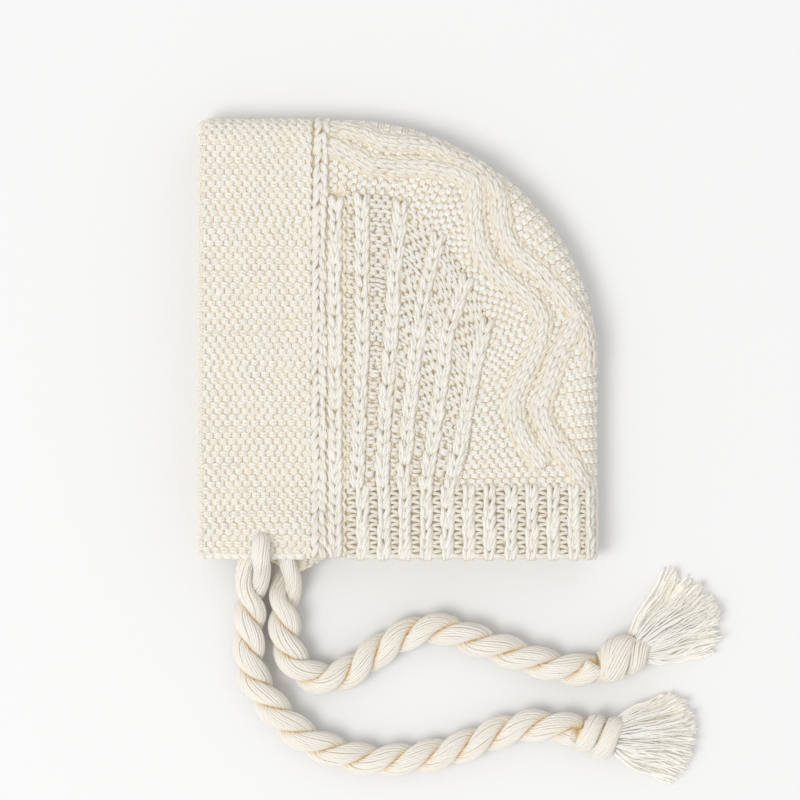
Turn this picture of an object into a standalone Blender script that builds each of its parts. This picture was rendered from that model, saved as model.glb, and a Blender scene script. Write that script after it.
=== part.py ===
"""A chunky-knitted baby bonnet lying flat on its side, with two twisted rope ties.

The bonnet is folded at the top and the back of the head, so it has two layers with the head's hollow
between them. X runs from the face edge to the back, Y from the neck up, and Z up from the table.
Sizes are in millimetres and become metres in the meshes.
"""
import math

import bpy
import numpy as np

MM = 0.001

# The bonnet as it lies
DEPTH = 161.0             # face edge to the back fold
HEIGHT = 176.6            # neck hem to the top fold, upper layer
HEM_DROP = 5.4            # how far the lower layer's hem shows past the upper one
THICKNESS = 20.0          # both layers and the hollow
WALL = 4.8                # knitted wall at its thickest
SEAM_GAP = 0.4            # between two knitted pieces
TOUCH_GAP = 0.3           # between a tie's own pieces

# Bands
BRIM_WIDTH = 44.2
BRIM_CORNER = 5.0         # rounded corner at the top of the face edge
GARTER_PITCH = 4.8
GARTER_DEPTH = 0.8
SEAM_WIDTH = 15.2
SEAM_RELIEF = 1.8
CHAIN_SHARE = 0.58        # the chain's share of the seam's width, the V column has the rest
NECK_DEPTH = 28.2
RIB_PITCH = 8.4
RIB_CREST = 4.6
RIB_RELIEF = 1.8

# Back of the head: a quarter of a superellipse from behind the seam to the straight back
BACK_CURVE_Y = 96.0
BACK_CURVE_POWER = 1.93
CABLE_WIDTH = 9.6
CABLE_RELIEF = 2.2
FOLD_RELIEF_SHARE = 0.25  # of the cable's relief left on the fold itself, which lies pressed

# Ties
PLY_RADIUS = 3.2
ROPE_RADIUS = 6.6
EYELET_RADIUS = 4.3
EYELET_RISE = 7.4         # eyelet centre above the neck hem
LEFT_EYELET_INSET = 25.8  # eyelet centre behind the face edge
RIGHT_EYELET_INSET = 34.6
LOOP_BEND = 4.0           # bend of a ply through its eyelet
LOWER_LIFT = 7.6          # how far the right tie's ply lifts the lower layer
UPPER_LIFT = 4.4
LIFT_FLAT = 10.0          # radius of the lifted stretch, level and then falling off
LIFT_REACH = 32.0
KNOT_RADIUS = 7.6
ROPE_POINT_SPACING = 0.9  # between the tube's points, in rope diameters

# Guide lines of the side panel, as shares of the field behind the seam and above the neck band:
# the line's distance back at five even heights from its foot to its top, then its top's height
RIB_GUIDES = {
    #            foot   1/4    1/2    3/4    top    top height
    "front":    (0.000, 0.000, 0.000, 0.000, 0.000, 0.803),
    "rib_1":    (0.041, 0.053, 0.065, 0.064, 0.061, 0.792),
    "rib_2":    (0.140, 0.152, 0.176, 0.191, 0.219, 0.774),
    "rib_3":    (0.223, 0.243, 0.270, 0.306, 0.365, 0.687),
    "rib_4":    (0.310, 0.345, 0.377, 0.400, 0.479, 0.571),
    "rib_5":    (0.404, 0.448, 0.477, 0.511, 0.558, 0.458),
    "back":     (0.448, 0.479, 0.503, 0.531, 0.570, 0.412),
}

# Cable strands of the crown, as (distance back, height) shares of the same field
CABLES = {
    "inner": ((0.000, 0.905), (0.045, 0.889), (0.120, 0.868), (0.286, 0.865), (0.412, 0.854),
              (0.487, 0.830), (0.507, 0.792), (0.511, 0.717), (0.546, 0.623), (0.641, 0.553),
              (0.740, 0.499), (0.771, 0.445), (0.744, 0.369), (0.684, 0.283), (0.661, 0.224),
              (0.688, 0.140), (0.783, 0.059)),
    "outer": ((0.000, 0.975), (0.073, 0.962), (0.148, 0.938), (0.337, 0.933), (0.412, 0.908),
              (0.511, 0.881), (0.594, 0.817), (0.613, 0.717), (0.657, 0.642), (0.759, 0.585),
              (0.870, 0.507), (0.950, 0.449), (0.974, 0.390), (0.978, 0.310)),
    "crossing": ((0.890, 0.426), (0.842, 0.369), (0.803, 0.296), (0.767, 0.215), (0.799, 0.146),
                 (0.870, 0.084), (0.968, 0.003)),
}

# Routes of the two ropes on the table, in millimetres, chosen by hand
LEFT_ROUTE = ((-59.8, -104.0), (-59.8, -108.5), (-59.8, -116.0), (-60.2, -124.0), (-58.9, -132.2),
              (-54.9, -139.5), (-49.3, -147.3), (-42.3, -154.4), (-34.3, -160.0), (-26.5, -163.4),
              (-17.5, -166.2), (-8.3, -167.2), (1.3, -166.6), (10.9, -165.6), (20.5, -163.4),
              (30.1, -160.0), (39.7, -156.2), (49.3, -153.6), (58.9, -153.0), (67.0, -154.2), (72.0, -155.2))
RIGHT_ROUTE = ((-46.0, -104.0), (-46.0, -108.5), (-45.9, -115.0), (-44.8, -121.5), (-41.0, -129.0),
               (-34.3, -133.6), (-26.0, -133.8), (-17.4, -129.8), (-8.3, -123.2), (1.3, -117.4),
               (10.9, -114.4), (20.5, -115.0), (30.1, -118.4), (39.7, -121.9), (49.3, -125.2),
               (58.9, -128.6), (68.5, -130.8), (75.0, -130.4), (79.2, -128.8))

# Each knot: its lobes' centres from the rope's end, and their half sizes as shares of KNOT_RADIUS
LEFT_LOBES = (
    # along  aside  half along, half aside, half height
    (6.3, -2.8, 0.74, 1.05, 0.98),
    (13.6, -1.0, 0.48, 0.98, 0.92),
)
RIGHT_LOBES = (
    (6.4, 3.2, 0.76, 1.05, 0.98),
    (14.9, 5.6, 0.84, 0.95, 0.92),
)

# Tips of each tassel's locks on the table, in millimetres, chosen by hand
LEFT_TIPS = ((109.5, -141.4), (115.3, -145.8), (118.3, -151.4), (118.9, -157.2), (117.9, -163.4),
             (115.1, -170.0), (109.3, -176.2))
RIGHT_TIPS = ((110.5, -90.4), (117.0, -94.8), (122.5, -99.0), (126.5, -103.8), (128.3, -109.4),
              (128.5, -115.0), (127.1, -120.0), (123.3, -124.8))
LOCK_ROOT_RADIUS = 3.5
LOCK_TIP_RADIUS = 1.9
LOCK_WAVE = 1.1
LOCK_SIDES = 6
LOCK_RINGS = 6

KNIT_COLOUR = (0.79, 0.75, 0.66)
BRIM_COLOUR = (0.82, 0.78, 0.69)
ROPE_COLOUR = (0.80, 0.76, 0.67)

# Places worked out from the sizes
FACE_X = -DEPTH / 2
BACK_X = DEPTH / 2
TOP_Y = (HEIGHT + HEM_DROP) / 2
HEM_Y = TOP_Y - HEIGHT
FOLD_RADIUS = THICKNESS / 2
FOLD_QUARTER = math.pi / 2 * FOLD_RADIUS
SEAM_X = FACE_X + BRIM_WIDTH
FIELD_X = SEAM_X + SEAM_WIDTH
FIELD_Y = HEM_Y + NECK_DEPTH
FIELD_WIDTH = BACK_X - FIELD_X
FIELD_HEIGHT = TOP_Y - FIELD_Y
BACK_CURVE_X = FIELD_WIDTH - SEAM_GAP / 2
EYELET_Y = HEM_Y + EYELET_RISE
LEFT_EYELET_X = FACE_X + LEFT_EYELET_INSET
RIGHT_EYELET_X = FACE_X + RIGHT_EYELET_INSET


def remove_scene_objects():
    for item in list(bpy.data.objects):
        bpy.data.objects.remove(item, do_unlink=True)


def material(name, colour):
    """A matt wool finish in one colour."""
    wool = bpy.data.materials.new(name)
    wool.use_nodes = True
    shader = wool.node_tree.nodes["Principled BSDF"]
    shader.inputs["Base Color"].default_value = (*colour, 1.0)
    shader.inputs["Roughness"].default_value = 0.95
    shader.inputs["Metallic"].default_value = 0.0
    return wool


def add_object(name, points, faces, colour):
    """One closed mesh object from points in millimetres, with its faces turned outwards."""
    mesh = bpy.data.meshes.new(name)
    mesh.from_pydata((np.asarray(points, dtype=float) * MM).tolist(), [], faces)
    mesh.validate()
    turn_outwards(mesh)
    mesh.shade_smooth()
    mesh.set_sharp_from_angle(angle=math.radians(50))
    mesh.materials.append(material(name, colour))
    item = bpy.data.objects.new(name, mesh)
    bpy.context.collection.objects.link(item)
    return item


def turn_outwards(mesh):
    """Flips a closed mesh whose signed volume is negative."""
    mesh.calc_loop_triangles()
    corners = np.array([v.co for v in mesh.vertices])
    triangles = np.array([t.vertices for t in mesh.loop_triangles])
    a, b, c = (corners[triangles[:, k]] for k in range(3))
    if np.einsum("ij,ij->i", a, np.cross(b, c)).sum() < 0:
        mesh.flip_normals()


def lift_share(x, y):
    """1 where the right tie's ply lies under the lower layer's hem, falling smoothly to 0."""
    distance = np.hypot(x - RIGHT_EYELET_X, y - HEM_Y)
    falloff = np.clip((distance - LIFT_FLAT) / (LIFT_REACH - LIFT_FLAT), 0, 1)
    return np.cos(falloff * math.pi / 2) ** 2


def settle(points):
    """Lifts the two layers over the right tie's ply, the lower one more than the upper one."""
    settled = np.array(points, dtype=float)
    x, y, z = settled[..., 0], settled[..., 1], settled[..., 2]
    layer = np.clip(z / THICKNESS, 0, 1)
    settled[..., 2] = z + lift_share(x, y) * (LOWER_LIFT + (UPPER_LIFT - LOWER_LIFT) * layer)
    return settled


def around_fold(across, depth):
    """Inset from the fold line and height, at a distance across the outer skin and a depth below it.

    across is 0 on the fold's middle, positive on the upper layer. The skin is half a round pipe
    that runs on level on both sides.
    """
    angle = np.clip(across / FOLD_RADIUS, -math.pi / 2, math.pi / 2)
    beyond = np.maximum(np.abs(across) - FOLD_QUARTER, 0)
    radius = FOLD_RADIUS - depth
    inset = FOLD_RADIUS - radius * np.cos(angle) + beyond
    return inset, FOLD_RADIUS + radius * np.sin(angle)


def ring_faces(first, count, next_first):
    """Quads between two closed rings of the same number of points."""
    return [(first + k, first + (k + 1) % count, next_first + (k + 1) % count, next_first + k)
            for k in range(count)]


def lofted(name, sections, colour):
    """A closed solid through sections with the same number of points, with a flat face on each end."""
    sections = np.asarray(sections)
    count = sections.shape[1]
    last = (len(sections) - 1) * count
    faces = [tuple(range(count - 1, -1, -1)), tuple(range(last, last + count))]
    for k in range(len(sections) - 1):
        faces += ring_faces(k * count, count, (k + 1) * count)
    return add_object(name, sections.reshape(-1, 3), faces, colour)


def padded_sheet(name, outer, inner, colour):
    """A closed solid between two grids of points of the same shape, joined round their rims."""
    rows, columns = outer.shape[:2]
    offset = rows * columns
    index = np.arange(offset).reshape(rows, columns)
    faces = []
    for r in range(rows - 1):
        for c in range(columns - 1):
            quad = (index[r, c], index[r, c + 1], index[r + 1, c + 1], index[r + 1, c])
            faces.append(tuple(int(v) for v in quad))
            faces.append(tuple(int(v) + offset for v in reversed(quad)))
    rim = list(index[0, :-1]) + list(index[:-1, -1]) + list(index[-1, :0:-1]) + list(index[:0:-1, 0])
    for a, b in zip(rim, rim[1:] + rim[:1]):
        faces.append((int(b), int(a), int(a) + offset, int(b) + offset))
    points = np.concatenate([outer.reshape(-1, 3), inner.reshape(-1, 3)])
    return add_object(name, points, faces, colour)


def hem_drop(x):
    """How far the lower layer's hem shows past the upper one, a short bulge behind the ties."""
    middle = SEAM_X - GARTER_PITCH
    share = np.clip(np.abs(x - middle) / (SEAM_WIDTH * 0.95), 0, 1)
    return HEM_DROP * np.cos(share * math.pi / 2) ** 2


def top_fold_section(x, relief, upper_across, lower_inset_steps):
    """A loop in the Y-Z plane round the top fold: outer skin from hem to hem, then back inside.

    relief gives the depth of each outer point of the upper layer and the fold, so the loop can carry
    ridges. The lower layer is flat outside, because it lies on the table.
    """
    lower_end = HEM_Y - hem_drop(x)
    inset, z = around_fold(upper_across, relief)
    outer = np.stack([TOP_Y - inset, z], axis=-1)
    level = np.linspace(TOP_Y - FOLD_RADIUS, lower_end, lower_inset_steps + 1)
    floor = np.stack([level[1:], np.zeros(lower_inset_steps)], axis=-1)
    back_inside = np.stack([level[:0:-1], np.full(lower_inset_steps, WALL)], axis=-1)
    bend_inset, bend_z = around_fold(np.linspace(-FOLD_QUARTER, FOLD_QUARTER, 7), WALL)
    bend = np.stack([TOP_Y - bend_inset, bend_z], axis=-1)
    upper_level = np.linspace(TOP_Y - FOLD_RADIUS, HEM_Y, lower_inset_steps + 1)
    roof = np.stack([upper_level[1:], np.full(lower_inset_steps, THICKNESS - WALL)], axis=-1)
    loop = np.concatenate([outer, floor, back_inside, bend, roof])
    return np.column_stack([np.full(len(loop), x), loop])


def brim_band():
    """Garter-stitch band round the face: ridges along X, eyelets in its lower corners."""
    upper_end = FOLD_QUARTER + TOP_Y - FOLD_RADIUS - HEM_Y
    steps = int(round((upper_end + FOLD_QUARTER) / (GARTER_PITCH / 2)))
    across = np.linspace(upper_end, -FOLD_QUARTER, steps + 1)
    relief = np.where(np.arange(steps + 1) % 2 == 1, GARTER_DEPTH, 0.0)
    corner = FACE_X + BRIM_CORNER * np.array([0.0, 0.25, 1.0])
    lifted = np.linspace(FACE_X + BRIM_WIDTH * 0.3, SEAM_X - SEAM_GAP / 2, 7)
    sections = []
    for x in np.concatenate([corner, lifted]):
        section = top_fold_section(x, relief, across, 9)
        ahead = max(BRIM_CORNER - (x - FACE_X), 0.0)
        cut = BRIM_CORNER - math.sqrt(BRIM_CORNER ** 2 - ahead ** 2)
        section[:, 1] = HEM_Y + (section[:, 1] - HEM_Y) * (1 - cut / HEIGHT)
        sections.append(section)
    band = lofted("brim_band", settle(sections), BRIM_COLOUR)
    cut_eyelet(band, LEFT_EYELET_X, THICKNESS - WALL / 2, UPPER_LIFT)
    cut_eyelet(band, RIGHT_EYELET_X, WALL / 2, LOWER_LIFT)


def cut_eyelet(band, x, layer_z, lift):
    """Cuts a tie's round eyelet through one layer."""
    z = layer_z + lift * float(lift_share(x, EYELET_Y))
    bpy.ops.mesh.primitive_cylinder_add(vertices=16, radius=EYELET_RADIUS * MM, depth=2 * WALL * MM,
                                        location=(x * MM, EYELET_Y * MM, z * MM))
    cutter = bpy.context.object
    cutter.name = "eyelet_cutter_%d" % len(band.modifiers)
    cutter.hide_render = True
    cutter.display_type = "WIRE"
    boolean = band.modifiers.new("eyelet", "BOOLEAN")
    boolean.operation = "DIFFERENCE"
    boolean.object = cutter


def front_seam():
    """Chain column and V column behind the brim, from the hem over the top fold and down again."""
    crease = SEAM_WIDTH * CHAIN_SHARE
    upper_end = FOLD_QUARTER + TOP_Y - FOLD_RADIUS - HEM_Y
    upper = np.concatenate([np.linspace(upper_end, FOLD_QUARTER, 12),
                            np.linspace(FOLD_QUARTER, -FOLD_QUARTER, 7)[1:]])
    stations = (
        # distance behind the brim, share of the relief's depth
        (SEAM_GAP / 2, 0.7),
        (crease * 0.3, 0.1),
        (crease * 0.7, 0.0),
        (crease, 0.9),
        (crease + (SEAM_WIDTH - crease) * 0.35, 0.0),
        (crease + (SEAM_WIDTH - crease) * 0.7, 0.1),
        (SEAM_WIDTH - SEAM_GAP / 2, 1.0),
    )
    sections = []
    for behind, share in stations:
        relief = np.full(len(upper), share * SEAM_RELIEF)
        sections.append(top_fold_section(SEAM_X + behind, relief, upper, 9))
    lofted("front_seam", settle(sections), KNIT_COLOUR)


def neck_band():
    """Ribbed band at the neck, a loop in the X-Z plane round the back fold, carried up Y."""
    end = FOLD_QUARTER + BACK_X - FOLD_RADIUS - FIELD_X - SEAM_GAP / 2
    ribs = int(end // RIB_PITCH) + 1
    across = []
    depth = []
    for k in range(-ribs, ribs + 1):
        for offset, share in ((-RIB_CREST / 2, 0.0), (RIB_CREST / 2, 0.0),
                              (RIB_PITCH / 2 - 0.6, 1.0), (RIB_PITCH / 2 + 0.6, 1.0)):
            place = k * RIB_PITCH + offset
            if abs(place) < end - 0.8:
                across.append(place)
                depth.append(share * RIB_RELIEF)
    across = np.array([-end] + across + [end])[::-1]
    depth = np.array([RIB_RELIEF] + depth + [RIB_RELIEF])[::-1]
    inset, z = around_fold(across, depth)
    inner_across = np.concatenate([np.linspace(-end, -FOLD_QUARTER, 8),
                                   np.linspace(-FOLD_QUARTER, FOLD_QUARTER, 7)[1:-1],
                                   np.linspace(FOLD_QUARTER, end, 8)])
    inner_inset, inner_z = around_fold(inner_across, WALL)
    loop_x = BACK_X - np.concatenate([inset, inner_inset])
    loop_z = np.concatenate([z, inner_z])
    rows = np.linspace(HEM_Y, FIELD_Y - SEAM_GAP / 2, 4)
    sections = [np.column_stack([loop_x, np.full(len(loop_x), y), loop_z]) for y in rows]
    lofted("neck_band", settle(sections), KNIT_COLOUR)


def guide_points(station, height):
    """Point of the side panel, at a guide number (0 front to 6 back) and a height share (0 to 1)."""
    guides = np.array(list(RIB_GUIDES.values()))
    low = min(int(station), len(guides) - 2)
    part = station - low
    heights = np.linspace(0, 1, 5)
    back = [np.interp(height, heights, guides[k, :5]) for k in (low, low + 1)]
    top = smooth_between(guides[:, 5], station)
    return (FIELD_X + FIELD_WIDTH * (back[0] * (1 - part) + back[1] * part),
            FIELD_Y + FIELD_HEIGHT * top * height)


def smooth_between(values, station):
    """Value at a fractional place in a list, on a Catmull-Rom curve through it."""
    low = min(int(station), len(values) - 2)
    t = station - low
    before = values[max(low - 1, 0)]
    after = values[min(low + 2, len(values) - 1)]
    start, end = values[low], values[low + 1]
    return start + 0.5 * t * (end - before + t * (2 * before - 5 * start + 4 * end - after
                                                 + t * (3 * (start - end) + after - before)))


def panel_stations():
    """Guide numbers across the side panel, and the share of the rib's depth at each."""
    stations = [(0.0, 1.0), (0.55, 0.6)]
    for rib in range(1, len(RIB_GUIDES) - 1):
        stations.append((float(rib), 0.0))
        if rib < len(RIB_GUIDES) - 2:
            stations += [(rib + 0.28, 0.15), (rib + 0.5, 1.0), (rib + 0.72, 0.15)]
    return stations + [(len(RIB_GUIDES) - 1.5, 0.5), (len(RIB_GUIDES) - 1.0, 1.0)]


def side_panel_grid():
    """Plan of the side panel and the depth of its ribs, as grids of rows from foot to top."""
    stations = panel_stations()
    heights = np.linspace(0, 1, 10)
    plan = np.array([[guide_points(station, h) for station, _ in stations] for h in heights])
    depth = np.tile([share * RIB_RELIEF for _, share in stations], (len(heights), 1))
    return plan, depth


def side_panel(name, upper):
    """The fan of ribs over one ear, flat, with its ribs on the outside of its layer."""
    plan, depth = side_panel_grid()
    outer_z = THICKNESS - depth
    inner_z = np.full(depth.shape, THICKNESS - WALL)
    if not upper:
        outer_z, inner_z = THICKNESS - outer_z, THICKNESS - inner_z
    inset = plan.copy()
    inset[:, 0, 0] += SEAM_GAP / 2
    inset[0, :, 1] += SEAM_GAP / 2
    outer = np.dstack([inset, outer_z])
    inner = np.dstack([inset, inner_z])
    padded_sheet(name, settle(outer), settle(inner), KNIT_COLOUR)


def fold_line():
    """Points on the fold from the seam to the neck band, and the inward directions there."""
    curve_centre = np.array([BACK_X - BACK_CURVE_X, TOP_Y - BACK_CURVE_Y])
    turn = np.linspace(math.pi / 2, 0, 27)
    cosine, sine = np.clip(np.cos(turn), 0, 1), np.sin(turn)
    power = 2 / BACK_CURVE_POWER
    arc = np.stack([BACK_CURVE_X * cosine ** power, BACK_CURVE_Y * sine ** power], axis=-1)
    slope = np.stack([cosine ** (2 - power) / BACK_CURVE_X, sine ** (2 - power) / BACK_CURVE_Y], axis=-1)
    inward = -slope / np.linalg.norm(slope, axis=1, keepdims=True)
    arc = arc + curve_centre
    back = [(BACK_X, y) for y in np.linspace(curve_centre[1], FIELD_Y + SEAM_GAP / 2, 9)[1:]]
    return np.concatenate([arc, back]), np.concatenate([inward, np.tile((-1, 0), (len(back), 1))])


def reach(start, direction, border):
    """Distance from a point along a direction to the first crossing with a polyline."""
    best = None
    for a, b in zip(border[:-1], border[1:]):
        edge = b - a
        cross = direction[0] * edge[1] - direction[1] * edge[0]
        if abs(cross) < 1e-9:
            continue
        gap = a - start
        along = (gap[0] * edge[1] - gap[1] * edge[0]) / cross
        place = (gap[0] * direction[1] - gap[1] * direction[0]) / cross
        if along > 0 and -1e-6 <= place <= 1 + 1e-6 and (best is None or along < best):
            best = along
    return best


def distance_to_lines(points, lines):
    """Smallest distance from each point to any of the polylines."""
    nearest = np.full(points.shape[:-1], np.inf)
    for line in lines:
        for a, b in zip(line[:-1], line[1:]):
            edge = b - a
            share = np.clip(((points - a) @ edge) / (edge @ edge), 0, 1)
            nearest = np.minimum(nearest, np.linalg.norm(points - a - share[..., None] * edge, axis=-1))
    return nearest


def crown_panel():
    """Purl ground with raised cable strands, a strip round the top and back folds."""
    plan, _ = side_panel_grid()
    border = np.concatenate([plan[-1], plan[::-1, -1][1:]])
    border = np.concatenate([[border[0] - (20, 0)], border, [border[-1] - (0, 20)]])
    points, directions = fold_line()
    widths = np.array([reach(p, d, border) for p, d in zip(points, directions)]) - SEAM_GAP
    bend = np.linspace(0, FOLD_QUARTER, 5)
    level = np.linspace(0, 1, 10)[1:]
    field = np.array([FIELD_WIDTH, FIELD_HEIGHT])
    lines = [np.array(line) * field + (FIELD_X, FIELD_Y) for line in CABLES.values()]
    outer, inner = [], []
    for point, direction, width in zip(points, directions, widths):
        half = np.concatenate([bend, FOLD_QUARTER + level * (width - FOLD_RADIUS)])
        across = np.concatenate([-half[:0:-1], half])
        inset, _ = around_fold(across, 0.0)
        apart = distance_to_lines(point + inset[:, None] * direction, lines)
        rise = np.sqrt(np.clip(1 - (apart / (CABLE_WIDTH / 2)) ** 2, 0, 1))
        pressed = FOLD_RELIEF_SHARE + (1 - FOLD_RELIEF_SHARE) * np.clip(np.abs(across) / FOLD_QUARTER, 0, 1)
        relief = CABLE_RELIEF * (1 - rise) * pressed
        for row, depth in ((outer, relief), (inner, np.full(len(across), WALL))):
            inset, z = around_fold(across, depth)
            row.append(np.column_stack([point + inset[:, None] * direction, z]))
    padded_sheet("crown_panel", settle(np.array(outer)), settle(np.array(inner)), KNIT_COLOUR)


def smooth_route(points, spacing):
    """Evenly spaced points on a Catmull-Rom curve through chosen points, both ends kept."""
    points = np.asarray(points, dtype=float)
    stations = np.linspace(0, len(points) - 1, (len(points) - 1) * 12 + 1)
    fine = np.array([[smooth_between(points[:, k], s) for k in range(points.shape[1])] for s in stations])
    along = np.concatenate([[0], np.cumsum(np.linalg.norm(np.diff(fine, axis=0), axis=1))])
    places = np.linspace(0, along[-1], max(int(round(along[-1] / spacing)), 2) + 1)
    return np.column_stack([np.interp(places, along, fine[:, k]) for k in range(fine.shape[1])])


def tube(name, points, radius, colour):
    """A cord's plain solid: a poly curve with a round bevel and filled caps."""
    curve = bpy.data.curves.new(name, "CURVE")
    curve.dimensions = "3D"
    curve.bevel_depth = radius * MM
    curve.bevel_resolution = 2
    curve.use_fill_caps = True
    spline = curve.splines.new("POLY")
    spline.points.add(len(points) - 1)
    for target, point in zip(spline.points, points):
        target.co = (*(float(v) * MM for v in point), 1.0)
    curve.materials.append(material(name, colour))
    item = bpy.data.objects.new(name, curve)
    bpy.context.collection.objects.link(item)
    return item


def bend_points(centre_y, centre_z, start_degrees, end_degrees):
    """Points in the Y-Z plane on a ply's tight bend."""
    angles = np.radians(np.linspace(start_degrees, end_degrees, 5))
    return [(centre_y + LOOP_BEND * math.cos(a), centre_z + LOOP_BEND * math.sin(a)) for a in angles]


def tie_loop(name, eyelet_x, hem_edge, layer_top, layer_base, route_start, outside):
    """A folded ply through an eyelet and round the hem, its two ends side by side on the rope's end.

    outside is 1 where the leg outside the bonnet lies above its layer, and -1 where it lies below.
    """
    pivot_y = EYELET_Y - LOOP_BEND
    upper_bend = bend_points(pivot_y, layer_top, 90, 0)
    lower_bend = bend_points(pivot_y, layer_base, 0, -90)
    end_y = route_start[1] + TOUCH_GAP
    fall = (hem_edge - 5.0, end_y + 5.0)
    side = PLY_RADIUS + TOUCH_GAP
    upper_x = route_start[0] + side * outside
    lower_x = route_start[0] - side * outside
    upper_z = layer_top + LOOP_BEND
    lower_z = layer_base - LOOP_BEND
    upper_leg = [(upper_x, end_y, ROPE_RADIUS), (upper_x, end_y + 2, ROPE_RADIUS),
                 (upper_x, fall[1], ROPE_RADIUS + 0.18 * (upper_z - ROPE_RADIUS)),
                 (upper_x, fall[0] - 1.5, ROPE_RADIUS + 0.72 * (upper_z - ROPE_RADIUS)),
                 ((upper_x + eyelet_x) / 2, hem_edge, upper_z)]
    lower_leg = [((lower_x + eyelet_x) / 2, hem_edge, lower_z),
                 (lower_x, fall[0], lower_z + 0.5 * (ROPE_RADIUS - lower_z)),
                 (lower_x, fall[1], ROPE_RADIUS), (lower_x, end_y, ROPE_RADIUS)]
    middle = [(eyelet_x, y, z) for y, z in upper_bend + lower_bend]
    tube(name, upper_leg + middle + lower_leg, PLY_RADIUS, ROPE_COLOUR)


def ball(name, centre, half_sizes, sides):
    """An object made of one round body with its own half sizes along X, Y and Z."""
    bpy.ops.mesh.primitive_uv_sphere_add(segments=sides, ring_count=sides // 2 + 1, radius=1.0)
    item = bpy.context.object
    item.name = name
    mesh = item.data
    for vertex in mesh.vertices:
        vertex.co = [(c + h * v) * MM for c, h, v in zip(centre, half_sizes, vertex.co)]
    mesh.shade_smooth()
    return item


def join_into(body, added):
    """Fuses another shape into a body with a Boolean union, and keeps that shape as a hidden guide."""
    added.hide_render = True
    added.display_type = "WIRE"
    union = body.modifiers.new("fused", "BOOLEAN")
    union.operation = "UNION"
    union.use_self = True
    union.object = added


def knot(name, rope_end, lobes):
    """A tie's knot: its wraps as round lobes, fused, lying on the table."""
    shapes = []
    for k, (along, aside, half_along, half_aside, half_height) in enumerate(lobes):
        half = np.array([half_along, half_aside, half_height]) * KNOT_RADIUS
        centre = (rope_end[0] + along, rope_end[1] + aside, half[2] + TOUCH_GAP)
        shapes.append(ball(name if k == 0 else "%s_lobe_%d" % (name, k), centre, half, 14))
    shapes[0].data.materials.append(material(name, ROPE_COLOUR))
    for added in shapes[1:]:
        join_into(shapes[0], added)
    last = lobes[-1]
    return (rope_end[0] + last[0] + last[2] * KNOT_RADIUS, rope_end[1] + last[1],
            last[4] * KNOT_RADIUS + TOUCH_GAP)


def lock(root, tip, phase):
    """Points of one lock of yarn: rings round a wavy line from its root to its tip on the table."""
    share = np.linspace(0, 1, LOCK_RINGS)
    radius = LOCK_ROOT_RADIUS + (LOCK_TIP_RADIUS - LOCK_ROOT_RADIUS) * share
    run = np.array(tip) - root[:2]
    side = np.array([-run[1], run[0]]) / np.linalg.norm(run)
    wave = LOCK_WAVE * np.sin(share * 2 * math.pi + phase) * share
    line = root[:2] + share[:, None] * run + wave[:, None] * side
    height = np.maximum(root[2] * (1 - share) ** 1.5, radius + TOUCH_GAP)
    around = np.linspace(0, 2 * math.pi, LOCK_SIDES, endpoint=False)
    rings = [np.column_stack([
        centre[0] + r * np.cos(around) * side[0],
        centre[1] + r * np.cos(around) * side[1],
        z + r * np.sin(around)]) for centre, r, z in zip(line, radius, height)]
    return np.array(rings)


def tassel(name, start, tips):
    """The loose yarn after a knot: wavy locks that spread on the table, fused to a head."""
    head_half = (KNOT_RADIUS * 0.75, KNOT_RADIUS * 0.85, KNOT_RADIUS * 0.85)
    centre = (start[0] + head_half[0] + TOUCH_GAP, start[1], start[2])
    body = ball(name, centre, head_half, 10)
    body.data.materials.append(material(name, ROPE_COLOUR))
    points, faces = [], []
    for k, tip in enumerate(tips):
        spread = (k / (len(tips) - 1) - 0.5) * -2
        root = np.array([centre[0], centre[1] + spread * head_half[1] * 0.45, centre[2]])
        rings = lock(root, tip, phase=1.7 * k)
        first = len(points) * LOCK_RINGS * LOCK_SIDES
        points.append(rings.reshape(-1, 3))
        faces.append(tuple(range(first + LOCK_SIDES - 1, first - 1, -1)))
        for ring in range(LOCK_RINGS - 1):
            faces += ring_faces(first + ring * LOCK_SIDES, LOCK_SIDES, first + (ring + 1) * LOCK_SIDES)
        last = first + (LOCK_RINGS - 1) * LOCK_SIDES
        faces.append(tuple(range(last, last + LOCK_SIDES)))
    locks = add_object(name + "_locks", np.concatenate(points), faces, ROPE_COLOUR)
    join_into(body, locks)


def tie(side, eyelet_x, hem_edge, layer_top, layer_base, route, lobes, tips, outside):
    """One tie: its loop at the eyelet, its rope, its knot and its tassel."""
    tie_loop(side + "_tie_loop", eyelet_x, hem_edge, layer_top, layer_base, route[0], outside)
    flat_route = [(x, y, ROPE_RADIUS + TOUCH_GAP / 2) for x, y in route]
    tube(side + "_tie_rope", smooth_route(flat_route, ROPE_POINT_SPACING * 2 * ROPE_RADIUS),
         ROPE_RADIUS, ROPE_COLOUR)
    knot_end = knot(side + "_tie_knot", route[-1], lobes)
    tassel(side + "_tassel", knot_end, np.array(tips))


def ties():
    left_lift = float(lift_share(LEFT_EYELET_X, EYELET_Y)) * UPPER_LIFT
    right_lift = float(lift_share(RIGHT_EYELET_X, EYELET_Y)) * LOWER_LIFT
    tie("left", LEFT_EYELET_X, HEM_Y, THICKNESS + left_lift, THICKNESS - WALL + left_lift,
        LEFT_ROUTE, LEFT_LOBES, LEFT_TIPS, 1)
    tie("right", RIGHT_EYELET_X, HEM_Y - HEM_DROP, WALL + right_lift, right_lift,
        RIGHT_ROUTE, RIGHT_LOBES, RIGHT_TIPS, 1)


def main():
    remove_scene_objects()
    brim_band()
    front_seam()
    crown_panel()
    side_panel("left_side_panel", upper=True)
    side_panel("right_side_panel", upper=False)
    neck_band()
    ties()


main()
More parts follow.
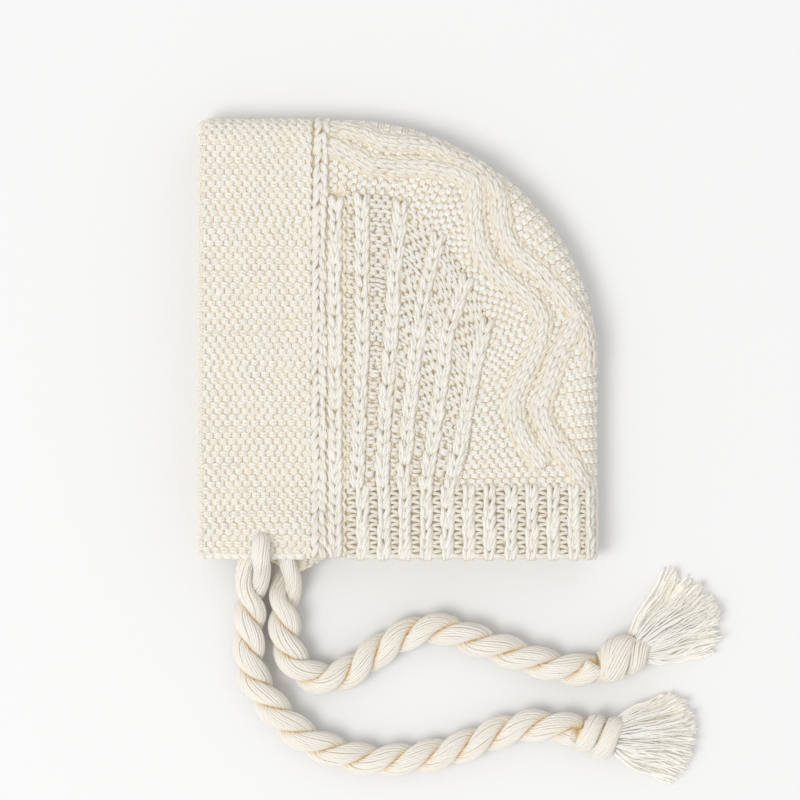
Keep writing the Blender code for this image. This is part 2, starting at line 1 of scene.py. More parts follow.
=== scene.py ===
# %% [markdown]
# # A knitted baby bonnet with twisted rope ties
# The bonnet lies flat on its side, folded along the top and the back of the head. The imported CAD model
# has its main shapes, and this script dresses them: each stitch is a piece of yarn laid on the cloth,
# and each tie is two twisted plies with a knot and a tassel. Sizes are in millimetres until a mesh is
# made.

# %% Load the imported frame
import math

import bpy
import numpy as np
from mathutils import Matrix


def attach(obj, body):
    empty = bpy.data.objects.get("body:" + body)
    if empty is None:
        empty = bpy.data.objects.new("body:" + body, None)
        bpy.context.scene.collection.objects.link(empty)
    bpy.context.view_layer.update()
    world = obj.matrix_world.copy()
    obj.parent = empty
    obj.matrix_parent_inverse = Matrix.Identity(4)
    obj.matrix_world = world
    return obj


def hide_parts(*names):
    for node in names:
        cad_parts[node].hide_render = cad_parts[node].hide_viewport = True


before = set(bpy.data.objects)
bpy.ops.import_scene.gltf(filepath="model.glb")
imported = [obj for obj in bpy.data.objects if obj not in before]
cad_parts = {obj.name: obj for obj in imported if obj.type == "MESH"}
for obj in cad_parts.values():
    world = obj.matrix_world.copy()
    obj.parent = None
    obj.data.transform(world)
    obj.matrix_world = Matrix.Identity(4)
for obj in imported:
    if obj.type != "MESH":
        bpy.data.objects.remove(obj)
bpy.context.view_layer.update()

MM = 0.001
TURN = 2 * math.pi
UP = np.array([0, 0, 1.0])
dice = np.random.default_rng(11)

# %% [markdown]
# ## The camera
# The photograph looks straight down. A wide lens close by would show the bonnet's sides, so the camera
# is a long lens far above, which keeps the sides upright and all stitches at one scale.

# %% Camera straight above
VIEW_X = 0.5
VIEW_Y = -22.2
VIEW_HEIGHT = 1600.0
VIEW_WIDTH = 320.0       # what the picture's width covers, level with the cloth
SHEET_LEVEL = 15.0

camera_data = bpy.data.cameras.new("camera")
camera_data.sensor_width = 36.0
camera_data.lens = 36.0 * (VIEW_HEIGHT - SHEET_LEVEL) / VIEW_WIDTH
camera = bpy.data.objects.new("camera", camera_data)
camera.location = (VIEW_X * MM, VIEW_Y * MM, VIEW_HEIGHT * MM)
bpy.context.collection.objects.link(camera)
bpy.context.scene.camera = camera
bpy.context.scene.view_settings.view_transform = "Standard"
print("lens", round(camera_data.lens, 1), "mm")

# %% [markdown]
# ## Sums in a finish
# A finish is a sum of waves and noise. Its nodes could be wired one by one, but then the formula is
# hard to read. So a small class wraps a socket, and a sum written in Python adds the Math nodes.

# %% Shader maths written as Python
class Value:
    """A socket that can be used in sums: each operator adds one Math node."""

    def __init__(self, finish, socket):
        self.finish = finish
        self.socket = socket

    def maths(self, operation, *terms):
        return self.finish.node("Math", {"operation": operation}, dict(enumerate(terms)))

    def __add__(self, other):
        return self.maths("ADD", self, other)

    def __sub__(self, other):
        return self.maths("SUBTRACT", self, other)

    def __rsub__(self, other):
        return self.maths("SUBTRACT", other, self)

    def __mul__(self, other):
        return self.maths("MULTIPLY", self, other)

    __radd__ = __add__
    __rmul__ = __mul__

    def sine(self):
        return self.maths("SINE", self)


class Finish:
    """One material: its shader's fixed values, and nodes added by one method."""

    def __init__(self, name, fixed):
        self.material = bpy.data.materials.new(name)
        self.material.use_nodes = True
        self.tree = self.material.node_tree
        self.shader = self.tree.nodes["Principled BSDF"]
        for label, amount in fixed.items():
            self.shader.inputs[label].default_value = amount

    def node(self, kind, settings=None, inputs=None, output=0):
        """Adds a shader node: settings first, then each input as a fixed value or a link."""
        made = self.tree.nodes.new("ShaderNode" + kind)
        for label, choice in (settings or {}).items():
            setattr(made, label, choice)
        for label, given in (inputs or {}).items():
            if isinstance(given, Value):
                self.tree.links.new(given.socket, made.inputs[label])
            else:
                made.inputs[label].default_value = given
        return Value(self, made.outputs[output])

    def feed(self, label, value):
        self.tree.links.new(value.socket, self.shader.inputs[label])


# %% [markdown]
# ## The wool finish
# The real yarn is a soft undyed wool: thin strands twisted together, matt, with a faint halo of
# fibres. A colour picture could be wrapped on, but twist drawn along each yarn stays right at every
# bend. So every yarn carries its own UV map, with the length along it and the turn round it, and the
# finish draws slanting strands and fine fibres from that. Between the stitches light bounces from yarn
# to yarn and comes out golden. That shade is painted: each point carries a number for how low it
# lies, which darkens and warms its colour and adds a painted glow.

# %% Wool finish
def wool(name, light, gap_shade, strands=5, twist=1.5, depth=0.00035, groove_shade=0.24, painted_glow=(0.13, 0.10, 0.06)):
    """Wool for yarns. Strand = (1 + sin(2 pi (strands x turn round + twist x along))) / 2, raised to 0.6
    so the furrow between strands is narrow. Base colour = the light wool with painted shade: darkened and
    warmed towards the shade colour where the point lies low and in the furrows, with a broad mottle.
    Height = strands plus fibres stretched along. Emission = a painted glowing light, faint everywhere and
    strongest where the point lies low, in place of the light that comes through the thin wool from behind."""
    finish = Finish(name, {"Sheen Weight": 0.3, "Sheen Roughness": 0.5, "Specular IOR Level": 0.15,
                           "Emission Strength": 1.0})
    place = finish.node("TexCoord", output=3)
    along_round = finish.node("UVMap", {"uv_map": "yarn"})
    along = finish.node("SeparateXYZ", inputs={0: along_round})
    turn = Value(finish, along.socket.node.outputs[1])
    deep = finish.node("Attribute", {"attribute_name": "deep"}, output=2)
    wave = (along * (twist * TURN) + turn * (strands * TURN)).sine()
    strand = finish.node("Math", {"operation": "POWER"}, {0: (wave + 1.0) * 0.5, 1: 0.6})
    stretched = finish.node("Mapping", inputs={"Vector": along_round, "Scale": (0.7, 16.0, 1.0)})
    fibres = finish.node("TexNoise", inputs={"Vector": stretched, "Scale": 3.0, "Detail": 3.0})
    mottle = finish.node("TexNoise", inputs={"Vector": place, "Scale": 60.0, "Detail": 3.0})
    # painted shade: low points and the furrows between strands are darkened and warmed; the mottle and
    # fibres are the wool's own tone
    shade_and_mottle = deep * 0.6 + (1.0 - strand) * groove_shade + (mottle - 0.5) * 0.2 + (fibres - 0.5) * 0.2
    colour = finish.node("Mix", {"data_type": "RGBA", "clamp_factor": True},
                         {0: shade_and_mottle, 6: (*light, 1.0), 7: (*gap_shade, 1.0)}, output=2)
    finish.feed("Base Color", colour)
    finish.feed("Roughness", 0.88 + fibres * 0.1)
    height = strand * 0.8 + fibres * 0.7
    bump = finish.node("Bump", inputs={"Height": height, "Strength": 0.8, "Distance": depth})
    finish.feed("Normal", bump)
    # painted glow: emission in the wool, faint everywhere and strongest in the low, shaded places, standing
    # in for light through the yarn
    through = finish.node("Mix", {"data_type": "RGBA", "clamp_factor": True},
                          {0: deep, 6: (0.02, 0.019, 0.017, 1.0), 7: (*painted_glow, 1.0)}, output=2)
    finish.feed("Emission Color", through)
    finish.material.cycles.emission_sampling = "NONE"
    return finish.material


# each wool's second colour is painted shade, for the gaps and furrows between yarns
WOOL_LIGHT = (0.85, 0.832, 0.79)
WOOL_GAP_SHADE = (0.68, 0.60, 0.45)

brim_wool = wool("brim_wool", (0.865, 0.845, 0.797), WOOL_GAP_SHADE, strands=3, painted_glow=(0.215, 0.17, 0.10))
ground_wool = wool("ground_wool", (0.88, 0.862, 0.818), WOOL_GAP_SHADE, strands=3, painted_glow=(0.24, 0.195, 0.125))
knit_wool = wool("knit_wool", WOOL_LIGHT, WOOL_GAP_SHADE, strands=4, twist=1.2, groove_shade=0.34)
cable_wool = wool("cable_wool", (0.81, 0.79, 0.745), (0.62, 0.53, 0.37), strands=4, twist=1.2, groove_shade=0.45)
# painted shade: a copy of the wool for the sunken neck bars, with a darker, warmer shade colour and less
# glow
valley_shade_wool = wool("valley_shade_wool", (0.86, 0.83, 0.76), (0.64, 0.53, 0.33), painted_glow=(0.065, 0.05, 0.026))
rope_wool = wool("rope_wool", (0.80, 0.777, 0.724), (0.68, 0.53, 0.29), strands=2, twist=1.2, depth=0.0001,
                 painted_glow=(0.13, 0.09, 0.045))
tassel_wool = wool("tassel_wool", (0.83, 0.818, 0.78), (0.80, 0.765, 0.68), strands=2, twist=1.2,
                   depth=0.0001, painted_glow=(0.24, 0.227, 0.197))
print("finishes:", *[m.name for m in bpy.data.materials])

# %% [markdown]
# ## Yarn along a line
# Every stitch ends up as a round yarn along a bent line. A curve object with a bevel would do for one
# line, but there are thousands here, so the tubes are worked out together: the lines are one array,
# the rings round them another, and the faces a third.

# %% Tubes from arrays of lines
UV_SCALE = 0.2           # the UV map's units in a millimetre


def unit(vectors):
    """Vectors divided by their own length."""
    return vectors / np.maximum(np.linalg.norm(vectors, axis=-1, keepdims=True), 1e-9)


class Bundle:
    """Points, quads, UVs and painted shade values of many closed shapes, gathered for one piece."""

    def __init__(self):
        self.parts = []
        self.count = 0

    def add(self, points, quads, uv, deep):
        points = points.reshape(-1, 3)
        self.parts.append((points, quads + self.count, uv.reshape(-1, 2), deep.ravel()))
        self.count += len(points)

    def yarns(self, lines, outward, radius, height=0.0, sides=6, deep_from=0.6, deep_reach=2.2, squash=1.0):
        """Round yarns along lines of shape (n, k, 3). A ring's point = line + radius times
        (cosine x aside + squash x sine x rise), with aside across the yarn and rise out of the cloth.
        The painted shade value grows from 0 to 1 over the given reach below the cloth's crest."""
        lines = np.asarray(lines, dtype=float)
        count, rings, _ = lines.shape
        along = unit(np.gradient(lines, axis=1))
        aside = unit(np.cross(along, outward))
        rise = np.cross(aside, along)
        radius = np.broadcast_to(radius, (count, rings))[..., None, None]
        angle = (np.arange(sides) * (TURN / sides))[:, None]
        spoke = radius * (np.cos(angle) * aside[:, :, None] + squash * np.sin(angle) * rise[:, :, None])
        points = lines[:, :, None] + spoke
        level = np.broadcast_to(height, (count, rings))[..., None] + (spoke * outward[:, :, None]).sum(-1)
        # painted shade: how far a point lies below the crest decides how dark and warm it is coloured
        deep = np.clip((-level - deep_from) / deep_reach, 0, 1)
        index = np.arange(count * rings * sides).reshape(count, rings, sides)
        after = np.roll(index, -1, axis=2)
        walls = np.stack([index[:, :-1], index[:, 1:], after[:, 1:], after[:, :-1]], axis=-1).reshape(-1, 4)
        run = np.cumsum(np.linalg.norm(np.diff(lines, axis=1, prepend=lines[:, :1]), axis=-1), axis=1)
        run = run * UV_SCALE + np.arange(count)[:, None] * 0.37
        low = np.broadcast_to(run[:, :-1, None], (count, rings - 1, sides))
        high = np.broadcast_to(run[:, 1:, None], low.shape)
        turn = np.broadcast_to(np.arange(sides) / sides, low.shape)
        corners = [(low, turn), (high, turn), (high, turn + 1 / sides), (low, turn + 1 / sides)]
        uv = np.stack([np.stack(c, axis=-1) for c in corners], axis=-2).reshape(-1, 4, 2)
        caps, cap_uv = [], []
        for m in range(1, sides - 2, 2):
            caps.append(index[:, 0][:, [0, m, m + 1, m + 2]])
            caps.append(index[:, -1][:, [0, m + 2, m + 1, m]])
            for end in (0, -1):
                tip = np.stack([run[:, end], 0 * run[:, end]], axis=-1)
                cap_uv.append(np.repeat(tip[:, None], 4, axis=1))
        self.add(points, np.concatenate([walls] + caps), np.concatenate([uv] + cap_uv), deep)

    def lay(self, cloth, first, second, height, radius, level, **look):
        """Yarns laid on a map from cloth to space: lines = cloth(first, second, height), and outward
        points from there to the same places half a millimetre higher."""
        lines = cloth(first, second, height)
        outward = unit(cloth(first, second, height + 0.5) - lines)
        self.yarns(lines, outward, radius, level, **look)

    def backing(self, cloth, first, second, height, *deep):
        """The thin sheet that closes the gaps, between a height and the cloth's inside, with painted shade
        on it.
        """
        first, second = np.meshgrid(first, second)
        self.sheet(cloth(first, second, height), cloth(first, second, -WALL), *deep)

    def sheet(self, outer, inner, shade_outer=0.55, shade_inner=0.25):
        """A closed sheet between two grids of points, joined round their rims, with one painted shade value
        for the outer grid and one for the inner.
        """
        rows, columns = outer.shape[:2]
        index = np.arange(rows * columns).reshape(rows, columns)
        top = np.stack([index[:-1, :-1], index[:-1, 1:], index[1:, 1:], index[1:, :-1]], -1).reshape(-1, 4)
        rim = np.concatenate([index[0, :-1], index[:-1, -1], index[-1, :0:-1], index[:0:-1, 0]])
        ahead = np.roll(rim, -1)
        under = rows * columns
        edge = np.stack([ahead, rim, rim + under, ahead + under], axis=-1)
        quads = np.concatenate([top, top[:, ::-1] + under, edge])
        points = np.concatenate([outer.reshape(-1, 3), inner.reshape(-1, 3)])
        a, b, c, d = (points[quads[:, k]] for k in range(4))
        volume = (np.cross(a, b) * c).sum() + (np.cross(a, c) * d).sum()
        if volume < 0:
            quads = quads[:, ::-1]
        flat = points[:, [0, 1]] * UV_SCALE
        deep = np.concatenate([np.full(under, shade_outer), np.full(under, shade_inner)])
        self.add(points, quads, flat[quads], deep)

    def piece(self, name, finish, slot, *nodes):
        """Writes the gathered shapes into one mesh that rides on the bonnet and stands for CAD nodes."""
        points = np.concatenate([p[0] for p in self.parts])
        quads = np.concatenate([p[1] for p in self.parts])
        mesh = bpy.data.meshes.new(name)
        mesh.vertices.add(len(points))
        mesh.vertices.foreach_set("co", (points * MM).astype(np.float32).ravel())
        mesh.loops.add(quads.size)
        mesh.loops.foreach_set("vertex_index", quads.astype(np.int32).ravel())
        mesh.polygons.add(len(quads))
        mesh.polygons.foreach_set("loop_start", np.arange(0, quads.size, 4, dtype=np.int32))
        mesh.update(calc_edges=True)
        mesh.shade_smooth()
        layer = mesh.uv_layers.new(name="yarn")
        layer.data.foreach_set("uv", np.concatenate([p[2] for p in self.parts]).astype(np.float32).ravel())
        # each point's painted shade value, which the wool finish reads
        deep = mesh.attributes.new("deep", "FLOAT", "POINT")
        deep.data.foreach_set("value", np.concatenate([p[3] for p in self.parts]).astype(np.float32))
        mesh.materials.append(finish)
        item = bpy.data.objects.new(name, mesh)
        bpy.context.collection.objects.link(item)
        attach(item, "root")
        if nodes:
            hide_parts(*nodes)
        print(name, "has", 2 * len(quads), "triangles")
        return item


# %% [markdown]
# ## The bonnet's shape
# The bonnet is two layers of cloth with a fold at the top and at the back. Each band gets a map: it
# takes a place on the cloth, in millimetres across and along it, and a height above its crest, and
# gives the point in space. Stitches are then drawn on flat cloth and carried round the fold by the
# map. The sizes are the CAD model's own.

# %% Sizes of the bands
THICKNESS = 20.0
WALL = 4.8
FACE_X = -80.5
BACK_X = 80.5
TOP_Y = 91.0
HEM_Y = -85.6
HEM_DROP = 5.4
SEAM_X = -36.3
FIELD_X = -21.1
FIELD_Y = -57.4
CROWN_X = -28.2          # the crown's stitches start at the chain, over the seam's edge
BRIM_CORNER = 5.0
FOLD_RADIUS = THICKNESS / 2
FOLD_QUARTER = math.pi / 2 * FOLD_RADIUS
FIELD = np.array([BACK_X - FIELD_X, TOP_Y - FIELD_Y])
RIGHT_EYELET_X = -45.9
LEFT_EYELET_X = -54.7
EYELET_Y = -78.2

# %% Maps from cloth to space
def bell(distance, reach):
    """1 up to a distance of 0, falling to 0 at the reach, as a squared cosine."""
    return np.cos(np.clip(distance / reach, 0, 1) * math.pi / 2) ** 2


def settle(points):
    """Lifts both layers over the right tie's ply: rise = share x 7.6 mm for the lower layer and
    share x 4.4 mm for the upper one, and share is a bell round the eyelet with a flat middle."""
    distance = np.hypot(points[..., 0] - RIGHT_EYELET_X, points[..., 1] - HEM_Y)
    share = bell(distance - 10.0, 22.0)
    layer = np.clip(points[..., 2] / THICKNESS, 0, 1)
    points[..., 2] += share * (7.6 - 3.2 * layer)
    return points


def around_fold(across, height):
    """Inset from the fold and level: a half circle of the fold's radius plus the height, then flat."""
    angle = np.clip(across / FOLD_RADIUS, -math.pi / 2, math.pi / 2)
    beyond = np.maximum(np.abs(across) - FOLD_QUARTER, 0)
    radius = FOLD_RADIUS + height
    return FOLD_RADIUS - radius * np.cos(angle) + beyond, FOLD_RADIUS + radius * np.sin(angle)


def stacked(*arrays):
    """Three arrays as points, spread to one shape."""
    return np.stack(np.broadcast_arrays(*arrays), axis=-1).astype(float)


def hem_drop(x):
    """The lower hem's bulge behind the ties, a bell."""
    return HEM_DROP * bell(np.abs(x - (SEAM_X - 4.8)), 14.4)


def over_top(x, across, height):
    """Brim and seam: across is 0 on the top fold, positive on the upper layer. The lower hem drops,
    and the face edge's corners are cut by a quarter circle."""
    inset, z = around_fold(across, height)
    y = TOP_Y - inset
    low_share = np.clip((TOP_Y - FOLD_RADIUS - y) / (TOP_Y - FOLD_RADIUS - HEM_Y), 0, 1)
    y = y - np.where(np.asarray(across) < 0, hem_drop(x) * low_share, 0.0)
    ahead = np.clip(BRIM_CORNER - (x - FACE_X), 0, BRIM_CORNER)
    cut = BRIM_CORNER - np.sqrt(BRIM_CORNER ** 2 - ahead ** 2)
    y = HEM_Y + (y - HEM_Y) * (1 - cut / (TOP_Y - HEM_Y))
    return settle(stacked(x, y, z))


def over_back(across, y, height):
    """Neck band: across is 0 on the back fold, positive on the upper layer."""
    inset, z = around_fold(across, height)
    return settle(stacked(BACK_X - inset, y, z))


TOP_END = FOLD_QUARTER + TOP_Y - FOLD_RADIUS - HEM_Y
BACK_END = FOLD_QUARTER + BACK_X - FOLD_RADIUS - FIELD_X
print("cloth from the top fold to the hem", round(TOP_END, 1), "mm")

# %% [markdown]
# ## The side panel and the crown's edge
# The ribs over the ear fan out, and the crown fills the rest, up to the fold. A grid could be drawn by
# hand, but a few guide lines up the ribs are enough: everything between them is a blend. The crown
# lies between two lines, the fold and the panel's border, and rays join the two.

# %% Guide lines of the side panel
GUIDES = np.array([
    # distance back at the foot, 1/4, 1/2, 3/4 and top, then the top's height
    (0.000, 0.000, 0.000, 0.000, 0.000, 0.803),
    (0.041, 0.053, 0.065, 0.064, 0.061, 0.792),
    (0.140, 0.152, 0.176, 0.191, 0.219, 0.774),
    (0.223, 0.243, 0.270, 0.306, 0.365, 0.687),
    (0.310, 0.345, 0.377, 0.400, 0.479, 0.571),
    (0.404, 0.448, 0.477, 0.511, 0.558, 0.458),
    (0.448, 0.479, 0.503, 0.531, 0.570, 0.412),
])
print("tops of the guide lines:", (GUIDES[:, 5] * FIELD[1]).round(1).tolist(), "mm above the neck band")


# %% Lines through a few points
def rounded(values, station):
    """Values at fractional places in a list, on a Catmull-Rom curve through its rows."""
    values = np.asarray(values, dtype=float)
    station = np.asarray(station, dtype=float)
    low = np.clip(station.astype(int), 0, len(values) - 2)
    t = (station - low)[..., None] if values.ndim > 1 else station - low
    before, start = values[np.maximum(low - 1, 0)], values[low]
    end, after = values[low + 1], values[np.minimum(low + 2, len(values) - 1)]
    return start + 0.5 * t * (end - before + t * (2 * before - 5 * start + 4 * end - after
                                                 + t * (3 * (start - end) + after - before)))


# %% The side panel's plan
def panel_plan(station, share):
    """Plan of the side panel: station counts guide lines from the front, share runs up each one.
    The place back is a blend of the two nearest guides, the height is the rounded top's share."""
    station, share = np.broadcast_arrays(np.asarray(station, float), np.asarray(share, float))
    low = np.clip(station.astype(int), 0, 5)
    part = np.clip(station - low, 0, 1)
    step = np.clip(share, 0, 1) * 4
    knot = np.clip(step.astype(int), 0, 3)
    between = step - knot
    back = [GUIDES[low + k, knot] * (1 - between) + GUIDES[low + k, knot + 1] * between for k in (0, 1)]
    top = rounded(GUIDES[:, 5], np.clip(station, 0, 6))
    x = FIELD_X + FIELD[0] * (back[0] * (1 - part) + back[1] * part)
    return x, FIELD_Y + FIELD[1] * top * share


print("the panel's top back corner:", np.round(panel_plan(6.0, 1.0), 1).tolist())


def run_along(points):
    """The length run at each point of a polyline: the sum of the steps before it."""
    return np.concatenate([[0], np.cumsum(np.linalg.norm(np.diff(points, axis=0), axis=1))])


def even(points, count):
    """Points spread evenly along a polyline, by its own length."""
    run = run_along(points)
    place = np.linspace(0, run[-1], count)
    return np.stack([np.interp(place, run, points[:, k]) for k in range(points.shape[1])], axis=1), run[-1]


def smooth(points, fine, count):
    """An even line of count points along the Catmull-Rom curve through a few points."""
    return even(rounded(points, np.linspace(0, len(points) - 1, fine)), count)


# %% The fold, the border and the rays
# The back of the head is a rounded corner: reach x cosine and sine, each to the power 2 / roundness.
REACH_X, REACH_Y, ROUNDNESS = 101.4, 96.0, 1.93
angle = np.linspace(math.pi / 2, 0, 200)
arc = np.stack([REACH_X * np.clip(np.cos(angle), 0, 1) ** (2 / ROUNDNESS) + BACK_X - REACH_X,
                REACH_Y * np.sin(angle) ** (2 / ROUNDNESS) + TOP_Y - REACH_Y], axis=1)
fold_points = np.concatenate([[(CROWN_X, TOP_Y)], arc[arc[:, 0] > FIELD_X + 0.5], [(BACK_X, FIELD_Y)]])
fold, fold_length = even(fold_points, 400)
slope = unit(np.gradient(fold, axis=0))
inward = np.stack([slope[:, 1], -slope[:, 0]], axis=1)
stations = np.linspace(0, 6, 61)
top_edge = np.stack(panel_plan(stations, 1.0), axis=1)
back_edge = np.stack(panel_plan(6.0, np.linspace(1, 0, 20)), axis=1)
border, border_length = even(np.concatenate([[(CROWN_X, 60.5)], top_edge, back_edge[1:]]), 400)
ray = border - fold
ray_length = np.linalg.norm(ray, axis=1)
ray = ray / ray_length[:, None]
ray_slant = (ray * inward).sum(axis=1)
print("fold", round(fold_length, 1), "mm, inner border", round(border_length, 1), "mm")


# %% Maps of the crown and the panel
def at(values, share):
    """Rows of an even table at shares from 0 to 1."""
    places = np.linspace(0, 1, len(values))
    if values.ndim == 1:
        return np.interp(share, places, values)
    return np.stack([np.interp(share, places, values[:, k]) for k in range(values.shape[1])], axis=-1)


def over_crown(share, across, height):
    """Crown: share runs along the fold, across goes in from it, along the ray to the inner border."""
    share, across, height = np.broadcast_arrays(share, across, height)
    slant = at(ray_slant, share)
    inset, z = around_fold(across * slant, height)
    plan = at(fold, share) + at(ray, share) * (inset / slant)[..., None]
    return settle(stacked(plan[..., 0], plan[..., 1], z))


def over_plan(x, y, height, side):
    """Any place of the plan, seen from above on the upper layer (side 1) or from below (side -1). Near
    the fold the level follows the half circle whose plan distance from the fold is the same."""
    plan = np.stack([x, y], axis=-1)
    apart = np.linalg.norm(plan[..., None, :] - fold, axis=-1)
    near = apart.argmin(axis=-1)
    inside = ((plan - fold[near]) * inward[near]).sum(-1)
    angle = side * np.sign(inside) * np.arccos(1 - np.clip(np.abs(inside) / FOLD_RADIUS, 0, 1))
    inset = FOLD_RADIUS - (FOLD_RADIUS + height) * np.cos(angle) + np.maximum(inside - FOLD_RADIUS, 0)
    foot = plan - inward[near] * inside[..., None]
    plan = foot + inward[near] * inset[..., None]
    return settle(stacked(plan[..., 0], plan[..., 1], FOLD_RADIUS + (FOLD_RADIUS + height) * np.sin(angle)))


def on_panel(side):
    """Side panel's map: flat on the upper layer (side 1) or under the lower one (side -1)."""
    def cloth(station, share, height):
        x, y = panel_plan(station, share)
        return settle(stacked(x, y, FOLD_RADIUS + side * (FOLD_RADIUS + height)))

    return cloth


print("the crown 40 mm in from the fold's middle:", over_crown(0.5, 40.0, 0.0).round(1).tolist())

# %% [markdown]
# ## Two kinds of stitch
# Knitting has two faces. Its purl face shows bumps: each course of yarn waves over and under, so its
# heads and feet lie on top and its legs dive behind. Its knit face shows columns of V, and each V is
# two slanting legs that hide their ends under the next V. Both are drawn on flat cloth here.

# %% Purl courses and knit columns
def purl_course(stitches, per_stitch=12, lean=0.26):
    """One course of purl bumps, in stitches. Along = t + lean x sin(4 pi t), bump = cos(2 pi t),
    dip = (1 - cos(4 pi t)) / 2, which is 0 on heads and feet and 1 on the legs."""
    t = np.linspace(0, stitches, int(round(stitches * per_stitch)) + 1)
    return t + lean * np.sin(2 * TURN * t), np.cos(TURN * t), (1 - np.cos(2 * TURN * t)) / 2


def drift(x, y, size, seed):
    """Smooth uneven pull of the hand: a sum of four waves across the cloth, about 1 at most."""
    phase = np.random.default_rng(seed).uniform(0, TURN, (4, 3))
    total = 0.0
    for a, b, c in phase:
        slanted = (x * math.cos(a) + y * math.sin(a)) / size
        total = total + np.sin(slanted + b + 0.6 * np.sin(y / size * 0.7 + c))
    return total / 3


def leg_row(bundle, place, start, end, pitch, foot, head, radius, crest=0.0, flip=1, length=1.35,
            dive=1.1, strands=3, sink=0.0):
    """A column of slanting legs, each one to three strands twisted together. A leg's share q runs from
    its foot to its head: along = (q - 0.5) x length x pitch, aside goes from foot to head along half a
    cosine, and both ends dive, the head under the next stitch. place(along, aside, height) is the
    cloth, flip turns the legs' way, and sink adds painted shade without moving the yarn."""
    count = max(int(round((end - start) / pitch)), 1)
    pitch = (end - start) / count
    q = np.linspace(0, 1, 7)
    shake = dice.normal(0, 1, (count, 6))
    along = start + (np.arange(count) + 0.5)[:, None] * pitch
    along = along + flip * (q - 0.5) * pitch * length + shake[:, :1] * 0.07 * pitch
    head = head + 0.14 * shake[:, 4:5]
    aside = foot + (head - foot) * (1 - np.cos(math.pi * q)) / 2 + 0.10 * shake[:, 1:2]
    ends = np.abs(2 * q - 1) ** 3
    height = crest - 0.85 * radius - dive * ends - 0.5 * q + 0.12 * shake[:, 2:3]
    girth = radius * (1 - 0.34 * ends) * (1 + 0.07 * shake[:, 3:4])
    low, high = min(start, end) - 0.3 * pitch, max(start, end) + 0.3 * pitch
    along = np.clip(along, low, high) + (q - 0.5) * 0.02
    off, thin = {1: (0.0, 1.0), 2: (0.42, 0.70), 3: (0.48, 0.64)}[strands]
    for strand in range(strands):
        turn = TURN * strand / strands + 1.5 * q + 0.6 * shake[:, 5:6]
        lift = 0.8 * off * girth * np.sin(turn)
        lines = place(along, aside + off * girth * np.cos(turn), height + lift)
        outward = unit(place(along, aside, height + 0.5) - place(along, aside, height))
        # painted shade: the level passed on is lowered by sink, so the legs come out darker and warmer
        bundle.yarns(lines, outward, girth * thin, height - crest - sink + lift,
                     5 if strands > 1 else 6, deep_from=0.5, deep_reach=2.0,
                     squash=0.9 if strands > 1 else 0.8)


def legs(bundle, place, start, end, pitch, half, radius, **settings):
    """A column of V stitches, half its width wide: two leg rows that mirror each other."""
    for side in (-1, 1):
        foot, head = side * 0.5 * radius, side * (half - 0.85 * radius)
        leg_row(bundle, place, start, end, pitch, foot, head, radius, **settings)


print("two purl stitches as", len(purl_course(2)[0]), "points, one knit leg as 7")

# %% [markdown]
# ## The brim
# The brim is garter stitch: ridges of bumps that run from the face edge to the seam. A carved surface
# would do from afar, but real yarns give the small shadows. Each ridge is a pair of strands on the
# upper layer and a single one below, wrapped round the face edge, over a thin backing.

# %% Brim
GARTER_PITCH = 4.8       # from ridge to ridge
STITCH = 3.62            # from bump to bump
BRIM_STITCHES = 12
BUMP = 1.35              # how far a bump swings out of its ridge's line
BRIM_YARN = 1.14


def edge_wrap(count=6):
    """Places of a yarn that turns round a cloth's cut edge: half a circle from its back to its front."""
    angle = np.linspace(math.pi, 0.35, count)
    reach_in = WALL / 2 - BRIM_YARN
    return WALL / 2 - reach_in * np.sin(angle), -WALL / 2 + reach_in * np.cos(angle)


brim = Bundle()
ridges = int(round(TOP_END / GARTER_PITCH))
wrap_in, wrap_height = edge_wrap()
for layer, per_stitch, offsets, girth in ((1, 9, (-0.62, 0.62), 1.0), (-1, 7, (0.0,), 1.5)):
    along, bump, dip = purl_course(BRIM_STITCHES, per_stitch, 0.20)
    x = np.concatenate([FACE_X + wrap_in, FACE_X + 1.9 + along * STITCH])[None]
    bump = np.concatenate([np.full(len(wrap_in), 0.4), bump])[None]
    dip = np.concatenate([wrap_in * 0, dip])[None]
    crest = girth if layer == 1 else 0.6 * girth
    base = np.concatenate([wrap_height, np.full(len(along), -crest)])[None]
    across = layer * ((np.arange(ridges) + 0.5) / ridges * TOP_END)[:, None] + 0 * x
    inside = np.clip((x - FACE_X) / 6, 0, 1) * np.clip((SEAM_X + 2 - x) / 4, 0, 1)
    x = x + inside * (0.5 * drift(across, x * 0.6, 9.0, 3) + dice.normal(0, 0.35, (ridges, 1)))
    across = across + bump * BUMP * (1 + 0.15 * drift(x, across, 3.0, 4)) + 0.35 * drift(x, across, 11.0, 5)
    across = across + 1.5 * np.clip((x - FACE_X) / 44, 0, 1) * np.exp(-((across - 14) / 22) ** 2)
    height = base - dip + 0.15 * drift(x, across, 2.6, 6)
    x = np.maximum(x, FACE_X + 1.2)
    for offset in offsets:
        wander = offset * (1 - 0.25 * dip) + 0.12 * drift(x, across + 3 * offset, 2.0, 8)
        strand = np.clip(across + wander, -TOP_END + 1.2, TOP_END - 1.2)
        radius = girth * (1 - 0.18 * dip) * (1 + 0.08 * drift(x, across, 1.7, 7))
        brim.lay(over_top, x, strand, height, radius, height, sides=5, deep_from=0.3, deep_reach=1.3,
                 squash=1.0 if layer == 1 else 0.6)

